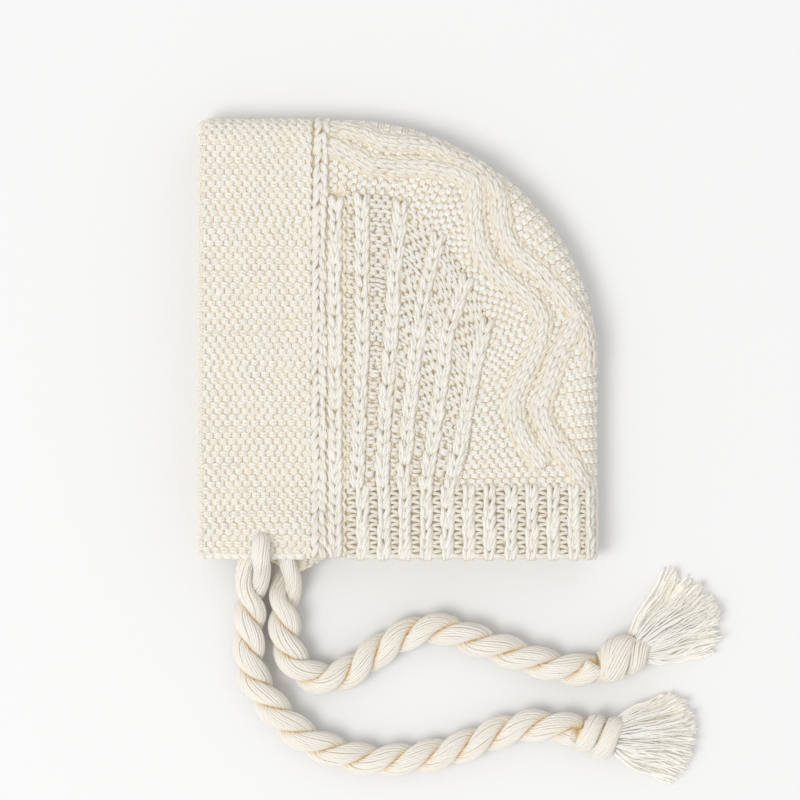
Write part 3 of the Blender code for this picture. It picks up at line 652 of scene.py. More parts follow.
hem_to_hem = np.linspace(-TOP_END + 0.8, TOP_END - 0.8, 150)
brim.backing(over_top, np.linspace(FACE_X + 1.2, SEAM_X - 0.2, 24), hem_to_hem, -1.5)
for end in (-1, 1):
    for depth, phase in ((1.7, 0.0), (3.4, 2.4)):
        edge_x = np.linspace(FACE_X + 2.0, SEAM_X - 0.8, 110)[None]
        wave = edge_x * (TURN / STITCH) + phase
        edge_across = end * (TOP_END - 1.25 + 0.35 * np.sin(wave))
        edge_height = -depth + 0.3 * np.cos(wave)
        brim.lay(over_top, edge_x, edge_across, edge_height, 1.15, edge_height)
brim.piece("brim_knit", brim_wool, "garter_knit", "brim_band")

# %% [markdown]
# ## The front seam
# Behind the brim a column of upside-down V stitches is picked up from its edge, and a column of
# upright V lies next to it. Each column is a pair of leg rows, and a thin waving yarn at the foot of
# each crease fills it, so that no straight gap shows.

# %% Front seam
seam = Bundle()
CHAIN_X = -32.0
COLUMN_X = -25.5
SEAM_ROW = 4.2


def lean(across):
    """The chain leans towards the crown near the top fold, a bell 1.4 mm high."""
    return 1.4 * bell(np.abs(across), 60)


for middle_x, half, flip, crest, upper_end in (
        (CHAIN_X, 3.5, 1, 0.25, 0.0), (COLUMN_X, 3.3, -1, 0.0, 39.0)):
    def column(along, aside, height):
        return over_top(middle_x + aside + lean(along), along, height)

    legs(seam, column, upper_end - 0.6, TOP_END - 1.4, SEAM_ROW, half, radius=1.62, crest=crest,
         flip=flip, length=1.45, dive=0.9, strands=2)
    legs(seam, column, -TOP_END + 1.4, -upper_end + 0.6, SEAM_ROW, half, radius=1.5, crest=crest,
         flip=flip, strands=1)
for middle_x, lead, sink in ((SEAM_X + 0.6, 0.0, 1.7), (FIELD_X - 0.9, 0.3, 2.9), (-28.7, 0.6, 2.7)):
    v = np.linspace(-TOP_END + 1.4, TOP_END - 1.4, 84 * 8)[None]
    wave = v * (TURN / 4.35) + lead
    tuck_height = -sink + 0.35 * np.cos(wave)
    seam.lay(over_top, middle_x + 0.6 * np.sin(wave), v, tuck_height, 1.0, tuck_height)
grid_x, grid_across = np.meshgrid(np.linspace(SEAM_X + 0.2, FIELD_X - 0.2, 12), hem_to_hem)
low_part = np.clip((grid_x + 29.5) / 1.5, 0, 1) * np.clip((40 - np.abs(grid_across)) / 2, 0, 1)
seam.sheet(over_top(grid_x, grid_across, -2.6 - 1.4 * low_part), over_top(grid_x, grid_across, -WALL), 0.8)
seam.piece("seam_knit", knit_wool, "chain_knit", "front_seam")

# %% [markdown]
# ## The neck band
# The band at the neck is ribbing: one column of V, then one column of purl bars that sinks between
# two of them. The rib pulls in, so its V stitches stand nearly upright, and the bars slant one way
# and the other by turns. The bars are a piece of their own, for a finish with darker, warmer painted
# shade down in the valleys.

# %% Neck band
RIB_PITCH = 8.45
RIB_SHIFT = 0.8          # the middle rib from the back fold
NECK_ROW = 4.0
neck, bars = Bundle(), Bundle()
ribs = int(BACK_END // RIB_PITCH)
low_y, high_y = HEM_Y + 0.4, FIELD_Y + 0.6
for k in range(-ribs, ribs + 1):
    def rib_column(along, aside, height):
        return over_back(k * RIB_PITCH - RIB_SHIFT + aside, along, height)

    legs(neck, rib_column, low_y, high_y, NECK_ROW, half=2.95, radius=1.6, length=1.5, dive=0.6,
         strands=2 if k > 0 else 1)
rows = 2 * int(round((high_y - low_y) / 3.6))
for k in range(-ribs - 1, ribs + 1):
    q = np.linspace(-1, 1, 7)
    row_y = low_y + (np.arange(rows) + 0.5)[:, None] * (high_y - low_y) / rows
    slant = np.where(np.arange(rows) % 2 == 0, 1, -1)[:, None]
    bar_across = (k + 0.5) * RIB_PITCH - RIB_SHIFT + q * 2.4 + 0 * row_y
    bar_across = np.clip(bar_across, -BACK_END + 0.6, BACK_END - 0.6)
    bar_y = row_y + slant * 0.55 * q - 0.3 * q ** 2 + dice.normal(0, 0.12, row_y.shape)
    bar_height = -2.0 - 1.4 * q ** 2 + dice.normal(0, 0.12, row_y.shape) + 0 * q
    bars.lay(over_back, bar_across, bar_y, bar_height, 0.82, bar_height + 1.2, sides=5, deep_from=0.5,
             deep_reach=1.8)
bars.backing(over_back, np.linspace(-BACK_END + 0.2, BACK_END - 0.2, 100),
             np.linspace(HEM_Y + 0.8, FIELD_Y + 0.4, 8), -3.1, 1.0, 0.4)
for depth in (2.2, 3.7):
    edge = np.linspace(-BACK_END + 0.6, BACK_END - 0.6, 60 * 8)[None]
    wave = edge * (TURN / RIB_PITCH) + depth
    edge_height = -depth + 0.4 * np.cos(wave)
    neck.lay(over_back, edge, HEM_Y + 1.3 + 0.25 * np.sin(wave), edge_height, 1.1, edge_height)
neck.piece("neck_knit", knit_wool, "neck_rib_knit", "neck_band")
bars.piece("neck_bars", valley_shade_wool, "neck_rib_knit")

# %% [markdown]
# ## The side panels
# Over each ear five ribs of V stitches fan out from the neck band. Between them the cloth sinks, and
# the yarn that crosses from rib to rib shows as purl bumps. A row has as many bumps as there is room
# for, because on the real cloth stitches are added as the fan widens.

# %% Side panels
RIB_ROW = 4.55


def rib_place(station, side):
    """A rib's own map: along runs up the rib in millimetres, aside across it in the plan."""
    share = np.linspace(0, 1, 120)
    line = np.stack(panel_plan(station, share), axis=1)
    run = run_along(line)
    heading = unit(np.gradient(line, axis=0))

    def place(along, aside, height):
        inner = np.clip(along, 0, run[-1])
        x, y = (np.interp(inner, run, line[:, k]) for k in (0, 1))
        dx, dy = (np.interp(inner, run, heading[:, k]) for k in (0, 1))
        x, y = x + dx * (along - inner), y + dy * (along - inner)
        return settle(stacked(x + dy * aside, y - dx * aside, FOLD_RADIUS + side * (FOLD_RADIUS + height)))

    return place, run[-1]


def valley(panel, guide, side):
    """Purl rows between a guide line and the next: each row is a course of n bumps, n growing with
    the space, from 2.5 mm beside one rib's middle to 2.5 mm beside the other's, its ends diving."""
    _, length = rib_place(guide + 0.5, side)
    count = int(length / RIB_ROW + 0.5)
    row = (np.arange(count) + 0.5) / count
    ends = [np.stack(panel_plan(float(guide + k), row), axis=1) for k in (0, 1)]
    apart = np.linalg.norm(ends[1] - ends[0], axis=1)
    trim = [0.3 if guide == 0 else 2.5, 0.3 if guide == 5 else 2.5]
    stitches = np.maximum(np.round((apart - sum(trim)) / 4.0), 1).astype(int)
    for n in np.unique(stitches):
        pick = stitches == n
        along, bump, dip = purl_course(n, lean=0.16)
        q = along / n
        first, last = trim[0] / apart[pick, None], 1 - trim[1] / apart[pick, None]
        station = guide + first + (last - first) * q
        shake = dice.normal(0, 1, (pick.sum(), 3))
        share = row[pick, None] + (bump * 1.15 + 0.25 * shake[:, :1]) / length
        share = np.clip(share + 0.3 * drift(station * 20, share * length, 3.0, 11) / length, 0.006, 0.994)
        sunk = 0.4 * np.exp(-(row[pick, None] * length / 9.0) ** 2) + (0.15 if guide == 0 else 0.0)
        height = -2.1 - sunk - 1.2 * dip - 0.9 * np.abs(2 * q - 1) ** 6 + 0.15 * shake[:, 1:2]
        girth = (0.96 if side == 1 else 1.3) * (1 - 0.2 * dip) * (1 + 0.06 * shake[:, 2:3])
        for offset in (-0.72, 0.72) if side == 1 else (0.0,):
            wander = offset + 0.12 * dice.normal(0, 1, (pick.sum(), 1))
            strand = np.clip(share + wander / length, 0.004, 0.996)
            panel.lay(on_panel(side), station, strand, height, girth, height + 0.9, sides=5,
                      deep_from=0.4, deep_reach=1.6)


for hand, side in (("left", 1), ("right", -1)):
    panel = Bundle()
    for rib in range(1, 6):
        place, length = rib_place(float(rib), side)
        legs(panel, place, 0.5, length - 0.5, RIB_ROW, half=3.3, radius=1.6, length=1.4, dive=1.0,
             strands=3 if side == 1 else 1)
    for guide in range(6):
        valley(panel, guide, side)
    panel.backing(on_panel(side), np.linspace(0, 6, 37), np.linspace(0, 1, 40), -3.4, 0.9)
    panel.piece(hand + "_side_knit", knit_wool, "rib_knit", hand + "_side_panel")

# %% [markdown]
# ## The crown
# The crown is purl ground with raised cable strands. Its courses run straight in from the fold, so
# they fan round the back of the head. Nearer the middle they come closer, and the yarn gets thinner.

# %% Crown ground
CABLE_RELIEF = 1.7
COURSE_PITCH = 5.1
GROUND_STITCH = 3.5


def ground_height(across):
    """The ground's skin below the cables' crest, pressed flatter on the fold."""
    return -CABLE_RELIEF * (0.25 + 0.75 * np.clip(np.abs(across) / FOLD_QUARTER, 0, 1))


courses = int(round(fold_length / COURSE_PITCH))
upper_crown, lower_crown = Bundle(), Bundle()
for k in range(courses):
    share = (k + 0.5) / courses
    slant = float(at(ray_slant, share))
    end = (FOLD_QUARTER + float(at(ray_length, share)) * slant - FOLD_RADIUS) / slant
    for bundle, side in ((upper_crown, 1), (lower_crown, -1)):
        begin = -0.3 if side == 1 else 0.3
        along, bump, dip = purl_course((end - begin) / GROUND_STITCH, 9 if side == 1 else 8, 0.2)
        across = np.clip(side * (begin + (along + dice.normal(0, 0.15)) * GROUND_STITCH), -end, end)[None]
        shrink = 1 - 0.12 * np.clip(np.abs(across) / end, 0, 1)
        wander = drift(across, share * fold_length + 0 * across, 6.0, 21)
        place = np.clip(share + (bump * 1.25 + 0.35 * wander) / fold_length, 0.003, 0.997)
        thin, offsets, crest = (0.96, (-0.58, 0.58), 0.96) if side == 1 else (1.46, (0.0,), 0.9)
        height = ground_height(across) - crest * shrink - 0.9 * dip[None] + 0.15 * wander
        girth = thin * shrink * (1 - 0.2 * dip) * (1 + 0.1 * drift(across, share * fold_length, 1.9, 22))
        for offset in offsets:
            strand = np.clip(place + offset * shrink * (1 - 0.2 * dip) / fold_length, 0.002, 0.998)
            bundle.lay(over_crown, strand, across, height, girth, height - ground_height(across),
                       sides=5, deep_from=0.35, deep_reach=1.3, squash=1.0 if side == 1 else 0.62)
for bundle, side in ((upper_crown, 1), (lower_crown, -1)):
    share = np.linspace(0.001, 0.999, 150)[:, None]
    slant = at(ray_slant, share)
    end = (FOLD_QUARTER + at(ray_length, share) * slant - FOLD_RADIUS) / slant + 0.8
    across = side * end * np.linspace(0, 1, 40)[None]
    share = share + 0 * across
    bundle.sheet(over_crown(share, across, ground_height(across) - 1.7),
                 over_crown(share, across, -WALL - 0.6))
upper_crown.piece("crown_ground_upper", ground_wool, "cable_knit", "crown_panel")
lower_crown.piece("crown_ground_lower", ground_wool, "cable_knit")

# %% [markdown]
# ## The cable strands
# Two strands wander from the chain over the crown, and a third comes out from under the outer one. On
# the real cloth they are knit columns that cross. Here each is five rows of slanting legs on a rounded
# ridge, laid over the ground, and the outermost rows get painted shade, like the grooves beside them.

# %% Cable strands
CABLE_LINES = (
    # places as shares of the field, back from the panel and up from the neck band
    ((-0.068, 0.930), (0.000, 0.905), (0.045, 0.889), (0.120, 0.868), (0.286, 0.865), (0.412, 0.854),
     (0.487, 0.830), (0.507, 0.792), (0.511, 0.717), (0.546, 0.623), (0.641, 0.553), (0.740, 0.499),
     (0.771, 0.445), (0.744, 0.369), (0.684, 0.283), (0.661, 0.224), (0.688, 0.140), (0.783, 0.059)),
    ((-0.068, 0.985), (0.000, 0.975), (0.073, 0.962), (0.148, 0.938), (0.337, 0.933), (0.412, 0.908),
     (0.511, 0.881), (0.594, 0.817), (0.613, 0.717), (0.657, 0.642), (0.759, 0.585), (0.870, 0.507),
     (0.950, 0.449), (0.978, 0.390), (0.984, 0.310)),
    ((0.925, 0.482), (0.893, 0.430), (0.842, 0.369), (0.803, 0.296), (0.767, 0.215), (0.799, 0.146),
     (0.870, 0.084), (0.968, 0.003)),
)
CABLE_HALF = 4.9
CABLE_SPACING = 1.78
CABLE_ROW = 4.2
RIDGE_DEPTH = 1.8        # how much steeper than the relief the ridge falls off


def cable_place(points, side):
    """A strand's own map: along its line, aside from it, and a rounded ridge under its height."""
    line, length = smooth(np.array(points) * FIELD + (FIELD_X, FIELD_Y), 300, 300)
    run = np.linspace(0, length, 300)
    heading = unit(np.gradient(line, axis=0))

    def place(along, aside, height):
        x, y, dx, dy = (np.interp(along, run, v) for v in (*line.T, *heading.T))
        ridge = CABLE_RELIEF * (1 - np.sqrt(np.clip(1 - (aside / CABLE_HALF) ** 2, 0, 1)))
        return over_plan(x + dy * aside, y - dx * aside, height - ridge * RIDGE_DEPTH, side)

    return place, length


for name, side in (("cables_upper", 1), ("cables_lower", -1)):
    cables = Bundle()
    for points in CABLE_LINES:
        place, length = cable_place(points, side)
        for row in range(5):
            middle = (row - 2) * CABLE_SPACING
            tilt = 0.42 if row % 2 == 0 else -0.42
            # painted shade: the outermost rows, 0 and 4, are set much lower for shade than the others, with
            # the yarn left in place
            leg_row(cables, place, 0.6, length - 0.6, CABLE_ROW, middle - tilt, middle + tilt, radius=1.26,
                    crest=0.1, length=1.5, dive=0.9, strands=1, sink=0.85 if row in (0, 4) else 0.1)
    cables.piece(name, cable_wool, "cable_knit")

# %% [markdown]
# ## The ties
# Each tie is one thick bundle of yarn, folded through its eyelet and twisted back on itself. So each
# rope has two plies that wind round each other like an S, and every ply is twenty thin yarns that
# twist the other way and look straight from outside. A bumpy tube would lose them, so each yarn is
# drawn, round a plain core. The route repeats the CAD rope's points.

# %% Rope routes
LEFT_ROUTE = ((-59.8, -104.0), (-59.8, -108.5), (-59.8, -116.0), (-60.2, -124.0), (-58.9, -132.2),
              (-54.9, -139.5), (-49.3, -147.3), (-42.3, -154.4), (-34.3, -160.0), (-26.5, -163.4),
              (-17.5, -166.2), (-8.3, -167.2), (1.3, -166.6), (10.9, -165.6), (20.5, -163.4),
              (30.1, -160.0), (39.7, -156.2), (49.3, -153.6), (58.9, -153.0), (67.0, -154.2),
              (72.0, -155.2))
RIGHT_ROUTE = ((-46.0, -104.0), (-46.0, -108.5), (-45.9, -115.0), (-44.8, -121.5), (-41.0, -129.0),
               (-34.3, -133.6), (-26.0, -133.8), (-17.4, -129.8), (-8.3, -123.2), (1.3, -117.4),
               (10.9, -114.4), (20.5, -115.0), (30.1, -118.4), (39.7, -121.9), (49.3, -125.2),
               (58.9, -128.6), (68.5, -130.8), (75.0, -130.4), (79.2, -128.8))
ROPE_PITCH = 29.0
HAND = -1                # an S twist
PLY_OFF = 3.35           # ply's centre from the rope's
PLY_YARNS = 20
PLY_HALF = (2.85, 3.5)   # half sizes of a ply's ring of yarns, away from the rope's axis and across
LOOP_HALF = (3.0, 3.0)
YARN = 0.57
ROPE_LEVEL = 6.75
print("route points:", len(LEFT_ROUTE), "and", len(RIGHT_ROUTE), "pitch", ROPE_PITCH, "mm")


# %% The plies' lines
def rope_plies(route, start_angle):
    """The rope's centre line and its two plies' centres: centre + offset x (cos x aside + sin x up),
    the angle turning once a pitch, a little faster near the bonnet, the two plies half a turn apart."""
    line, length = smooth(np.array(route), 400, 120)
    run = np.linspace(0, length, len(line))
    heading = unit(np.gradient(line, axis=0))
    centre = stacked(line[:, 0], line[:, 1], ROPE_LEVEL)
    aside = stacked(-heading[:, 1], heading[:, 0], 0.0)
    angle = start_angle + HAND * TURN * (run / ROPE_PITCH + 0.25 * (1 - np.exp(-run / 45)))
    spokes = []
    for start in (0.0, math.pi):
        spokes.append(np.cos(angle + start)[:, None] * aside + np.sin(angle + start)[:, None] * UP)
    return centre, [centre + PLY_OFF * spoke for spoke in spokes], spokes, length


def loop_line(eyelet_x, layer_top, layer_base, rope_start, start, end, over_legs, under_legs):
    """A ply's way from the rope up over the hem, down through the eyelet and back under to the rope.
    The legs' points count from the rope's start, and the bend is half a circle of 4 mm radius."""
    angle = np.radians(np.linspace(90, -90, 9))
    level = np.where(angle > 0, layer_top, layer_base)
    bend = stacked(np.full(9, eyelet_x), EYELET_Y - 4.0 + 4.0 * np.cos(angle), level + 4.0 * np.sin(angle))
    foot = np.array([rope_start[0], rope_start[1], 0.0])
    points = np.concatenate([[start], foot + over_legs, bend, foot + under_legs, [end]])
    return smooth(points, 400, 64)[0]


# %% Yarns round a ply
def ply_yarns(line, spoke, rate, half, count, seed):
    """Yarns round a ply: each at the ply's centre + half x cos x spoke + other half x sin x side, turning
    at the given rate in radians a millimetre, with a little of its own wander."""
    local = np.random.default_rng(seed)
    heading = unit(np.gradient(line, axis=0))
    spoke = unit(spoke - (spoke * heading).sum(1, keepdims=True) * heading)
    side = np.cross(heading, spoke)
    run = run_along(line)
    rate = np.broadcast_to(rate, run.shape)
    turned = np.concatenate([[0], np.cumsum(0.5 * (rate[1:] + rate[:-1]) * np.diff(run))])
    start = np.arange(count) * (TURN / count) + local.normal(0, 0.03, count)
    waves = local.uniform(0, TURN, (count, 2))
    angle = start[:, None] + turned + 0.035 * np.sin(run / 6.0 + waves[:, :1])
    wander = 1 + 0.035 * np.sin(run / 4.0 + waves[:, 1:]) + local.normal(0, 0.012, (count, 1))
    half = np.broadcast_to(np.asarray(half, float), (len(run), 2))
    out = (half[:, 0] * np.cos(angle))[..., None] * spoke + (half[:, 1] * np.sin(angle))[..., None] * side
    return line + wander[..., None] * out, unit(out)


def spin(bundle, yarns, out, axis, outer=6.4, radius=YARN):
    """Adds yarns of a ply to a piece, with pinched ends. Level = distance from the axis - outer, which sets
    the painted shade: yarns nearer the axis come out darker.
    """
    reach = np.linalg.norm(yarns - axis, axis=-1)
    girth = np.full(yarns.shape[:2], radius)
    girth[:, [0, -1]] *= 0.4
    bundle.yarns(yarns, out, girth, reach - outer, sides=5, deep_from=0.7, deep_reach=2.6)


# %% One tie
def tie(side, route, start_angle, eyelet_x, layer_top, layer_base, over_legs, under_legs, seed):
    """One tie: its bundle of yarns runs down one ply, round the loop and back down the other ply. The
    yarns' own twist and the ply's swell change from rope to loop, so both are given ring by ring."""
    centre, plies, spokes, length = rope_plies(route, start_angle)
    loop = loop_line(eyelet_x, layer_top, layer_base, route[0], plies[1][0], plies[0][0],
                     over_legs, under_legs)
    count, middle = len(centre), len(loop) - 2
    share = np.linspace(0, 1, middle)[:, None]
    sideways = np.array([0.6, 0, 0]) * np.sin(math.pi * share)
    flat = spokes[1][0] * (1 - share) - spokes[0][0] * share + sideways
    line = np.concatenate([plies[1][::-1], loop[1:-1], plies[0]])
    spoke = np.concatenate([spokes[1][::-1], unit(flat), -spokes[0]])
    rope_rate = -HAND * TURN / ROPE_PITCH * 1.2
    rate = np.repeat([rope_rate, -HAND * 0.06, rope_rate], [count, middle, count])
    swell = 1 - np.exp(-np.linspace(0, length, count) / 5.0)
    swell = np.concatenate([swell[::-1], np.zeros(middle), swell])[:, None]
    half = np.array(LOOP_HALF) + swell * (np.array(PLY_HALF) - np.array(LOOP_HALF))
    yarns, out = ply_yarns(line, spoke, rate, half, PLY_YARNS, seed)
    first, last = count, len(line) - count
    rope, bow = Bundle(), Bundle()
    spin(rope, yarns[:, :first + 1], out[:, :first + 1], np.concatenate([centre[::-1], centre[:1]]))
    spin(rope, yarns[:, last - 1:], out[:, last - 1:], np.concatenate([centre[:1], centre]))
    lap = slice(first - 3, last + 3)
    spin(bow, yarns[:, lap], out[:, lap], line[lap], 3.0, 1.03 * YARN)
    for bundle, part in ((rope, slice(0, first + 1)), (rope, slice(last - 1, None)), (bow, lap)):
        # painted shade: each ply's core lies 3 mm below the crest, so it comes out dark and warm between
        # the yarns
        bundle.yarns(line[part][None], spoke[part][None], (half[part, 1] - 0.2)[None], -3.0, 12,
                     squash=float(half[part, 0].mean() / half[part, 1].mean()))
    rope_piece = rope.piece(side + "_rope_yarn", rope_wool, "rope_yarn", side + "_tie_rope")
    loop_piece = bow.piece(side + "_loop_yarn", rope_wool, "rope_yarn", side + "_tie_loop")
    return rope_piece, loop_piece, centre, length


# %% Both ties
left_rope, left_loop, left_centre, left_length = tie(
    "left", LEFT_ROUTE, math.radians(61.6), LEFT_EYELET_X, 23.6, 18.8,
    ((1.8, 3.2, 4.3), (4.2, 8.0, 9.5), (5.2, 13.0, 17.5), (5.1, 18.4, 27.0)),
    ((-0.3, 18.4, 14.6), (-2.3, 11.0, 10.8), (-2.0, 6.5, 10.2), (-0.4, 2.8, 10.2)), 5)
right_rope, right_loop, right_centre, right_length = tie(
    "right", RIGHT_ROUTE, math.radians(125.0), RIGHT_EYELET_X, 12.4, 7.6,
    ((3.2, 4.0, 5.4), (3.7, 9.0, 9.0), (2.6, 13.5, 13.0), (1.0, 18.4, 16.0)),
    ((0.8, 18.4, 3.6), (-0.6, 12.0, 4.0), (-2.0, 7.0, 5.4), (-2.6, 3.0, 8.0)), 6)
print("ropes", round(left_length, 1), round(right_length, 1), "mm")

# %% [markdown]
# ## Knots and tassels
# Each tie ends in a knot, an overhand one whose turns hide each other. Only what shows is built: the
# same bundle of yarns carried round a short spiral, and on the right tie a band that crosses it. The
# loose yarns behind the knot spread into a tassel, each a thin wavy tube of its own.

# %% Knots
def wrap(bundle, line, spoke, axis, rate, half, count, seed, outer, core, squash):
    """A short ply: its yarns, and a plain core of the given radius that closes the gaps, set low so that it
    takes painted shade.
    """
    yarns, out = ply_yarns(line, spoke, rate, half, count, seed)
    spin(bundle, yarns, out, axis, outer)
    bundle.yarns(line[None], spoke[None], core, -2.0, 12, squash=squash)


def knot(side, rope_end, heading, low, high, radius, rise, half, turns, sway, seed, band=None):
    """A spiral of a ply round the rope's axis: centre + radius x cos x aside + rise x sin x up, moving on
    along the axis a wrap at a time and swaying aside. It starts and ends underneath, tucked inwards.
    A band (start, end, half width) goes over its top the other way: half a turn, its ends diving."""
    bundle = Bundle()
    t = np.linspace(0, 1, 80)
    tuck = np.clip(np.minimum(t, 1 - t) / 0.14, 0, 1)
    angle = TURN * turns * t - math.pi / 2
    across = np.array([-heading[1], heading[0], 0.0])
    forward = np.array([heading[0], heading[1], 0.0])
    middle = rope_end + forward * (low + (high - low) * t)[:, None]
    middle[:, 2] = rise + half[0] + YARN + 0.1
    middle = middle + across * (sway * np.cos(TURN * t))[:, None]
    reach = (0.4 + 0.6 * np.sin(tuck * math.pi / 2)) * (0.8 + 0.2 * np.sin(math.pi * t))
    spoke = np.cos(angle)[:, None] * across * radius + np.sin(angle)[:, None] * (rise * UP)
    line = middle + reach[:, None] * spoke
    full = np.stack([np.full(80, half[0]), half[1] * (0.86 + 0.14 * np.sin(2 * TURN * t + 1.0))], axis=1)
    wrap(bundle, line, unit(spoke), middle, 0.09, full, 22, seed, rise + 3.2, 0.84 * half[1],
         half[0] / half[1])
    if band:
        q = np.linspace(0, 1, 36)
        over = math.pi * (0.05 + 0.90 * q)
        spoke = -np.cos(over)[:, None] * across + np.sin(over)[:, None] * UP
        axis = rope_end + forward * (band[0] + (band[1] - band[0]) * q)[:, None]
        axis[:, 2] = middle[0, 2]
        lift = half[0] - 0.2 - 3.0 * (1 - np.sin(np.clip(np.minimum(q, 1 - q) / 0.25, 0, 1) * math.pi / 2))
        crest = axis + spoke * (np.array([radius, radius, rise]) + lift[:, None])
        wrap(bundle, crest, spoke, axis, 0.12, (1.9, band[2]), 16, seed + 2, rise + half[0] + 2.4,
             band[2] - 0.2, 1.9 / band[2])
    through = np.linspace(0, 1, 24)[:, None]
    inner = rope_end + forward * (2.0 + (high - 4.0) * through)
    inner[:, 2] = ROPE_LEVEL
    wrap(bundle, inner, np.tile(UP, (24, 1)), inner, 0.1, (4.4, 4.4), 22, seed + 1, 5.2, 4.2, 1.0)
    return bundle.piece(side + "_knot_yarn", rope_wool, "rope_yarn", side + "_tie_knot")


def end_heading(centre):
    """Which way a rope points at its knot, in the plan."""
    return unit(centre[-1] - centre[-6])[:2]


left_knot = knot("left", left_centre[-1], end_heading(left_centre), low=0.8, high=16.6, radius=5.9,
                 rise=4.5, half=(2.7, 4.1), turns=-2.0, sway=0.8, seed=31)
right_knot = knot("right", right_centre[-1], end_heading(right_centre), low=1.0, high=19.6, radius=5.3,
                  rise=4.2, half=(2.7, 5.2), turns=-1.75, sway=-0.3, seed=32, band=(3.0, 15.5, 3.7))

# %% Tassels
LEFT_TIPS = ((109.5, -141.4), (115.3, -145.8), (118.3, -151.4), (118.9, -157.2), (117.9, -163.4),
             (115.1, -170.0), (109.3, -176.2))
RIGHT_TIPS = ((110.5, -90.4), (117.0, -94.8), (122.5, -99.0), (126.5, -103.8), (128.3, -109.4),
              (128.5, -115.0), (127.1, -120.0), (123.3, -124.8))


def tassel(side, root, across, tips, strands, seed):
    """Loose yarns from the knot to the tips: each a straight run from root to tip, plus a slow wave, a
    crinkle and its lock's own bow aside, falling from the knot's height to its layer on the table."""
    local = np.random.default_rng(seed)

    def own(least, most):
        return local.uniform(least, most, (strands, 1))

    spread = np.clip(local.beta(1.15, 1.15, strands), 0, 1)
    layer = local.uniform(0, 1, strands)
    tip = rounded(np.array(tips), spread * (len(tips) - 1))
    round_off = np.sqrt(np.clip(1 - (2 * spread - 1) ** 2, 0.1, 1))
    aside = (0.5 - spread) * 12.0 + local.normal(0, 0.5, strands)
    start = root + np.stack([aside * across[0] + local.normal(0, 0.8, strands), aside * across[1],
                             (layer - 0.5) * 10.0 * round_off], axis=1)
    reach = local.uniform(0.86, 1.05, strands)
    q = np.linspace(0, 1, 22)
    target = np.stack([tip[:, 0], tip[:, 1], 0.6 + layer * 7.0 * round_off], axis=1)
    target[:, :2] = start[:, :2] + (target[:, :2] - start[:, :2]) * reach[:, None]
    run = target - start
    lines = start[:, None] + run[:, None] * q[None, :, None]
    side_way = unit(np.stack([-run[:, 1], run[:, 0], 0 * run[:, 0]], axis=1))
    phase = local.uniform(0, TURN, (strands, 4))
    bow = own(0.4, 1.8) * np.sin(q * own(1.5, 4.5) + phase[:, :1])
    bow = bow - bow[:, :1] + 0.26 * np.sin(q * own(12, 22) + phase[:, 1:2]) * (0.2 + q)
    lock = (spread * 9).astype(int)
    bow = bow + 1.3 * q * np.sin(2.6 * q + local.uniform(0, TURN, 10)[lock][:, None])
    belly = 1.6 * np.sin(math.pi * np.clip(q * 1.6, 0, 1)) * (1 - 2 * spread[:, None])
    lift = 0.4 * np.sin(q * own(8, 18) + phase[:, 2:3]) * q + np.sin(math.pi * q)
    lines = lines + (bow + belly)[..., None] * side_way[:, None]
    lines[..., 2] = np.maximum(lines[..., 2] + lift, 0.45)
    girth = (0.42 + 0.42 * (1 - layer[:, None]) ** 2) * (1 - 0.3 * q)[None] * own(0.8, 1.2)
    bundle = Bundle()
    # painted shade and glow: strands lower down get a higher shade value, so they are warmer and glow more
    bundle.yarns(lines, np.broadcast_to(UP, lines.shape), girth, (lines[..., 2] - 9.0) * 0.3, sides=4,
                 deep_from=-1.0, deep_reach=3.6)
    return bundle.piece(side + "_tassel_yarn", tassel_wool, "tassel_yarn", side + "_tassel")


left_tassel = tassel("left", np.array([87.0, -157.6, 7.0]), (0.0, 1.0), LEFT_TIPS, 260, 41)
right_tassel = tassel("right", np.array([97.0, -122.0, 7.0]), (-0.5, 0.87), RIGHT_TIPS, 270, 42)

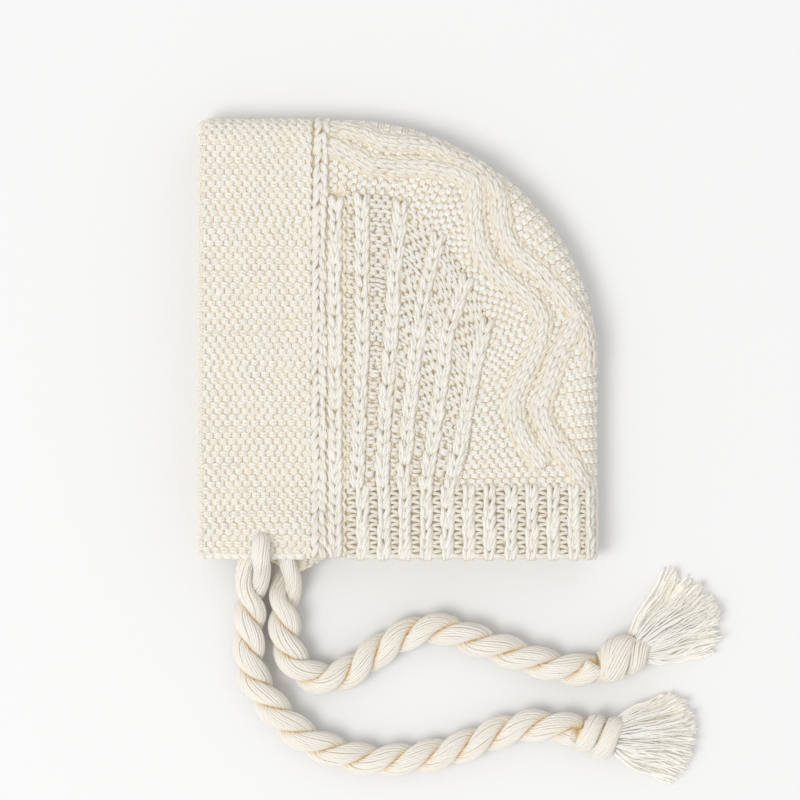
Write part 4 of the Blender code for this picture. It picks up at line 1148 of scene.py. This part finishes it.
# %% [markdown]
# ## The ties' lengths
# A tie is limp, so whoever uses the part may want to lay it another way. Each rope's length along
# the middle and the place where it leaves the bonnet are printed.

for rope, loop, knotted, tuft, centre, length in (
        (left_rope, left_loop, left_knot, left_tassel, left_centre, left_length),
        (right_rope, right_loop, right_knot, right_tassel, right_centre, right_length)):
    exit_point = (centre[0] + (0, 6.0, 0)) * MM
    round(length * MM, 4)
    [tuple(p) for p in (centre * MM).tolist()]
    print(rope.name, "is a cord of", round(length, 1), "mm from", np.round(exit_point / MM, 1).tolist())

# %% [markdown]
# ## The floor and the light
# The photograph has a plain white ground and one broad soft light. A lamp close by would cut hard
# shadows between the stitches, so the light is a large disk far off, on the face side and a little
# towards the neck, which puts the bonnet's shadow behind its crown. An even pale sky fills the rest.

# %% Floor and light
FLOOR_LEVEL = -0.0003    # in metres, a hair below the lowest yarn
floor_finish = Finish("pale_floor", {"Base Color": (0.785, 0.785, 0.785, 1.0), "Roughness": 0.9,
                                     "Specular IOR Level": 0.2})
floor_mesh = bpy.data.meshes.new("floor")
corners = [(-2, -2), (2, -2), (2, 2), (-2, 2)]
floor_mesh.from_pydata([(x, y, FLOOR_LEVEL) for x, y in corners], [], [(0, 1, 2, 3)])
floor_mesh.materials.append(floor_finish.material)
floor = bpy.data.objects.new("floor", floor_mesh)
bpy.context.collection.objects.link(floor)

key_data = bpy.data.lights.new("window", "AREA")
key_data.shape = "DISK"
key_data.size = 2.6
key_data.energy = 114.0
key_data.color = (1.0, 0.995, 0.985)
key = bpy.data.objects.new("window", key_data)
key.location = (-2.2, -1.2, 4.3)
bpy.context.collection.objects.link(key)
key.rotation_euler = (-key.location).to_track_quat("-Z", "Y").to_euler()

world = bpy.data.worlds.new("pale_sky")
bpy.context.scene.world = world
world.use_nodes = True
sky = world.node_tree.nodes["Background"]
sky.inputs[0].default_value = (1.0, 1.0, 1.0, 1.0)
sky.inputs[1].default_value = 0.82
print("light", key_data.energy, "W, sky", round(sky.inputs[1].default_value, 2))
